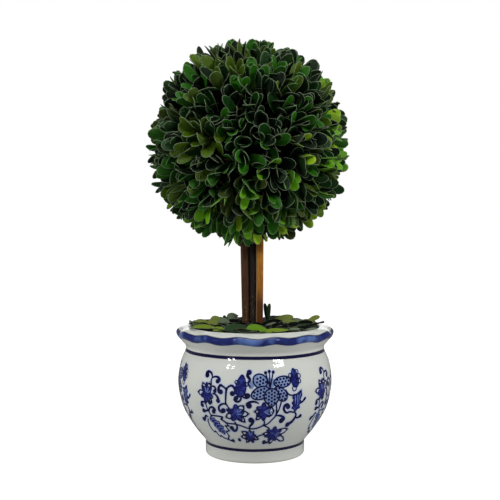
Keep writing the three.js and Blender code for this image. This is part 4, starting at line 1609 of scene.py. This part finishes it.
# %% Litter shapes
LITTER_SHOULDER = 118.6
LITTER_CROWN = 119.8
LITTER_RADIUS = 57.5
LITTER_REACH = 63.0
PLACED_REACH = 69.0
LITTER_SUNK = 0.4
LITTER_MARGIN = 0.3
RIM_TOP = np.array([(58.0, 118.7), (64.0, 119.0), (67.4, 118.6), (70.2, 117.2)])
LITTER_COUNT = 230
LITTER_LAYER = (0.0, 1.3)
FRONT_EDGE = -38.0
LITTER_TINTS = {
    "faded_olive": paint(122, 134, 66),
    "grey_green": paint(108, 120, 98),
    "yellow_olive": paint(118, 142, 44),
    "fresh_green": paint(98, 140, 34),
    "dull_green": paint(44, 66, 40),
    "shadow_green": paint(9, 12, 8),
}
litter_leaves = {name: [] for name in LITTER_TINTS}


def litter_height(radius):
    """Height of the heap at a distance from the pot's axis."""
    t = min(radius / LITTER_RADIUS, 1.0)
    return LITTER_CROWN + (LITTER_SHOULDER - LITTER_CROWN) * t * t


def lay_leaf(tint, root, tip, facing, width, form, reach=LITTER_REACH):
    """A loose leaf, lifted over the rim, or left out if it reaches too far or touches a stick."""
    span = np.subtract(tip, root)
    length = float(np.linalg.norm(span))
    leaf = (np.array(root, float), unit(span), np.array(facing, float), length, width, form)
    spots = leaf_spots(leaf)
    out = np.hypot(spots[:, 0], spots[:, 1])
    if out.max() > reach or stick_gap(spots) < LITTER_MARGIN:
        return False
    over = np.max(np.where(out > RIM_TOP[0, 0], np.interp(out, *RIM_TOP.T) - spots[:, 2], 0))
    litter_leaves[tint].append((leaf[0] + (0, 0, over), *leaf[1:]))
    return True


def seen_at(across, down, depth):
    """The place in mm that the camera sees at a pixel of the 500-pixel photo, at a depth on Y."""
    dip = math.radians(CAMERA_DIP_DEG)
    focal = 500 * LENS_MM / SENSOR_MM
    right, up = (across - 250) / focal, (250 - down) / focal
    away = (depth - CAMERA_PLACE[1]) / (math.cos(dip) + up * math.sin(dip))
    x = CAMERA_PLACE[0] + away * right
    z = CAMERA_PLACE[2] + away * (up * math.cos(dip) - math.sin(dip))
    return np.array([x, depth, z])


# %% Leaves that the photo shows: tint, root and tip as pixel and depth, upper side, width, form
PLACED = (
    ("yellow_olive", (219, 328.4, -41), (192.6, 327.8, -35), (0, -0.34, 1), 9.0, 0),
    ("grey_green", (203, 327.8, -33), (189.5, 327.8, -30), (0, -0.3, 1), 7.0, 2),
    ("faded_olive", (209.5, 321.9, -4), (194, 321.9, -2), (0, -0.9, 0.7), 6.0, 2),
    ("faded_olive", (221, 323.8, -14), (207, 322.8, -12), (0, -0.7, 0.8), 7.0, 0),
    ("faded_olive", (223, 319.8, -2), (210, 319.4, 0), (0, -1, 0.4), 7.4, 2),
    ("grey_green", (231, 323.4, -14), (219, 320.6, -10), (0.1, -0.9, 0.6), 7.0, 0),
    ("dull_green", (226, 320.6, 3), (223.4, 315.4, 3), (0.6, -1, 0.2), 3.6, 0),
    ("grey_green", (238.4, 315.6, 9), (226.6, 317.6, 6), (0, -1, 0.2), 7.6, 0),
    ("shadow_green", (240.5, 321.2, -8), (228, 321.0, -6), (0, -0.8, 0.6), 4.0, 0),
    ("yellow_olive", (227, 330.6, -48), (213, 329.8, -44), (0, -0.7, 0.8), 6.0, 0),
    ("dull_green", (250, 327.6, -44), (224, 330.4, -47), (0, -0.9, 0.7), 9.5, 0),
    ("fresh_green", (270, 331.2, -53), (246.5, 328.6, -51), (0, -0.8, 0.8), 9.5, 0),
    ("yellow_olive", (290, 330.4, -51), (264, 331.6, -55), (0, -0.6, 0.8), 5.6, 2),
    ("dull_green", (268, 323, -3), (270.2, 303.4, -3), (-0.9, -0.8, 0.1), 6.0, 0),
    ("shadow_green", (266.8, 322, -2), (264.9, 303, -2), (0.6, -1, 0.1), 4.4, 2),
    ("faded_olive", (274, 318.8, 6), (293.5, 316.6, 6), (0, -0.9, 0.6), 6.0, 2),
    ("faded_olive", (296, 322.0, -6), (282, 321.4, -4), (0.1, -0.8, 0.6), 4.8, 0),
    ("grey_green", (305, 320.8, 6), (291, 319.8, 8), (0, -0.8, 0.6), 4.2, 0),
    ("faded_olive", (306, 321.4, 2), (320, 316.8, 2), (0.1, -0.8, 0.8), 5.6, 0),
    ("shadow_green", (262, 323.2, -18), (281, 321.4, -14), (0, -0.6, 0.8), 6.0, 0),
    ("shadow_green", (259, 324.6, -24), (277, 325.8, -26), (0, -0.6, 0.8), 6.0, 2),
    ("grey_green", (265, 325.4, -26), (276, 322.8, -24), (0, -0.9, 0.5), 2.4, 0),
    ("shadow_green", (288, 324.6, -24), (271, 327, -30), (0.1, -0.6, 0.8), 6.0, 0),
    ("grey_green", (279, 325.4, -34), (291, 327.4, -36), (0, -0.8, 0.6), 2.8, 2),
    ("shadow_green", (277, 327.6, -38), (298, 325, -32), (0, -0.6, 0.8), 5.0, 0),
    ("shadow_green", (295, 322.6, -10), (313, 323.4, -8), (0, -0.6, 0.8), 5.0, 1),
    ("dull_green", (297, 326.2, -28), (311, 325.2, -24), (0, -0.7, 0.7), 3.4, 0),
    ("shadow_green", (292, 329.4, -44), (312, 326.8, -36), (0.1, -0.6, 0.8), 5.0, 2),
    ("grey_green", (284, 329.6, -48), (300, 329.0, -46), (0, -0.7, 0.7), 2.8, 0),
    ("shadow_green", (283, 328.8, -46), (263, 329.2, -46), (0, -0.6, 0.8), 4.4, 0),
    ("grey_green", (303, 329, -42), (317, 327.2, -36), (0, -0.7, 0.7), 2.6, 2),
    ("shadow_green", (308, 325, -14), (317, 326.4, -18), (0, -0.5, 0.8), 4.0, 0),
    ("shadow_green", (298, 330, -46), (284, 331.4, -50), (0, -0.5, 0.8), 4.0, 0),
    ("shadow_green", (304, 323.6, -18), (288, 323.0, -16), (0, -0.5, 0.8), 3.6, 2),
    ("shadow_green", (246, 324.6, -20), (262, 325, -22), (0, -0.6, 0.8), 5.0, 0),
    ("shadow_green", (229, 325.2, -26), (247, 324, -24), (0, -0.6, 0.8), 5.0, 2),
    ("shadow_green", (214, 325.6, -25), (200, 325.0, -22), (0, -0.5, 0.8), 3.0, 0),
)
placed = []
for tint, root, tip, facing, width, form in PLACED:
    placed.append(lay_leaf(tint, seen_at(*root), seen_at(*tip), facing, width, form, PLACED_REACH))
left_out = [i for i, laid in enumerate(placed) if not laid]
print("placed by hand:", sum(placed), "of", len(PLACED), "left out:", left_out)

# %% The rest of the loose leaves
LITTER_SEED = SEED + 5
LITTER_STRAY = 0.6
LITTER_THINNER = 0.4
LITTER_CLIMB = (-0.04, 0.1)
LITTER_LENGTH = (16.0, 23.0)
LITTER_WIDTH = (6.5, 9.5)
FACE_UP_SHARE = 0.65
# Tints with the share that each goes up to, first to the left of a line and then elsewhere
LEFT_LINE = -14
LEFT_TINTS = (("faded_olive", 0.3), ("grey_green", 0.45), ("dull_green", 0.7), ("shadow_green", 1.0))
# The near-black shadow_green leaves are painted shade in the gaps of the heap
OTHER_TINTS = (("shadow_green", 0.72), ("dull_green", 0.9), ("faded_olive", 1.0))


def litter_tint(x, share):
    """Olive and grey to the left, and in the middle and to the right mostly near-black leaves of painted
    shade.
    """
    tints = LEFT_TINTS if x < LEFT_LINE else OTHER_TINTS
    return next(tint for tint, limit in tints if share < limit)


draw = seeded(LITTER_SEED)
for i in range(LITTER_COUNT):
    radius = (LITTER_RADIUS + 1.0) * math.sqrt((i + 0.5) / LITTER_COUNT)
    bearing = i * GOLDEN_TURN + next(draw) * LITTER_STRAY
    heading_turn = next(draw) * 2 * math.pi
    climb = between(LITTER_CLIMB, next(draw))
    layer = between(LITTER_LAYER, next(draw)) * (1 - LITTER_THINNER * radius / LITTER_RADIUS)
    length = between(LITTER_LENGTH, next(draw))
    width = between(LITTER_WIDTH, next(draw))
    facing = (next(draw) - 0.5, next(draw) - 0.5, 3.0 if next(draw) < FACE_UP_SHARE else -3.0)
    form = int(next(draw) * len(LEAF_FORMS))
    x, y = radius * math.cos(bearing), radius * math.sin(bearing)
    middle = np.array([x, y, litter_height(radius) + layer * (y > FRONT_EDGE)])
    flat = math.cos(climb)
    half = np.array([math.cos(heading_turn) * flat, math.sin(heading_turn) * flat, math.sin(climb)])
    tint = litter_tint(x, next(draw))
    lay_leaf(tint, middle - half * length / 2, middle + half * length / 2, facing, width, form)

# Painted highlight: the loose leaves' rolled edges share one pale grey-green, for the light they catch
litter_edge = leaf_material("litter_edge", paint(96, 104, 88), (0.5, 0.7), LITTER_SPECULAR)
for tint, colour in LITTER_TINTS.items():
    upper = leaf_material("litter_" + tint, colour, (0.5, 0.75), LITTER_SPECULAR)
    grey = faded(colour, UNDERSIDE_GREY, UNDERSIDE_SHARE)
    under = leaf_material("litter_" + tint + "_underside", grey, (0.6, 0.8), LITTER_SPECULAR)
    place_piece(leaf_piece("litter_" + tint, litter_leaves[tint], upper, under, litter_edge), "litter_leaf")
print("loose leaves:", sum(len(leaves) for leaves in litter_leaves.values()))

# %% The leaf stalk at the right
STALK = [(46.0, -26.0, 120.8), (52.0, -25.0, 122.0), (57.6, -24.0, 123.4), (62.4, -23.0, 124.4)]
STALK_TUBE = (1.1, 8)
stalk_finish = leaf_material("dark_stalk", paint(16, 18, 13), (0.5, 0.7), LITTER_SPECULAR)
place_piece(tube_piece("loose_stalk", [STALK, STALK[:1:-1]], *STALK_TUBE, stalk_finish), "litter_leaf")

# %% Bed of crumbs under the loose leaves
BED_LOW = 111.0
BED_EDGE = 57.6
BED_WAVE = 0.16
BED_RIPPLES = 20
BED_RIPPLE_PITCH = 0.35
BED_SEED = 9
BED_BEVEL = 0.6
BED_ROWS, BED_SEGMENTS = 30, 120
BED_FADE = (BED_LOW + 5, BED_LOW + 7)
# Painted shade: the crumbs are near-black, as the shade between the loose leaves
painted_shade_crumb_finish = grainy_material("leaf_crumbs", 480.0, paint(5, 7, 4), paint(26, 32, 16), 0.9)
bed_profile = [(0, BED_LOW), (BED_EDGE, BED_LOW), (BED_EDGE, LITTER_SHOULDER - LITTER_SUNK)]
for radius in np.linspace(BED_EDGE - BED_BEVEL, 1.0, BED_ROWS):
    bed_profile.append((radius, litter_height(radius) - LITTER_SUNK))
bed_profile.append((0, LITTER_CROWN - LITTER_SUNK))
bed_points, bed_faces = turned_surface(bed_profile, BED_SEGMENTS)
bed_waves = np.random.default_rng(BED_SEED)
on_top = smooth_share(bed_points[:, 2], *BED_FADE)
for _ in range(BED_RIPPLES):
    direction = bed_waves.normal(size=2) * BED_RIPPLE_PITCH
    phase = bed_waves.uniform(*ANY_PHASE)
    bed_points[:, 2] += BED_WAVE * on_top * np.sin(bed_points[:, :2] @ direction + phase)
place_piece(new_piece("litter_bed", bed_points, bed_faces, painted_shade_crumb_finish), "litter_leaf", "leaf_litter")

# %% [markdown]
# ## Finish
#
# The templates have done their work and are removed.

# %% Remove the templates
for template in list(leaf_templates.objects):
    bpy.data.objects.remove(template)
bpy.data.collections.remove(leaf_templates)
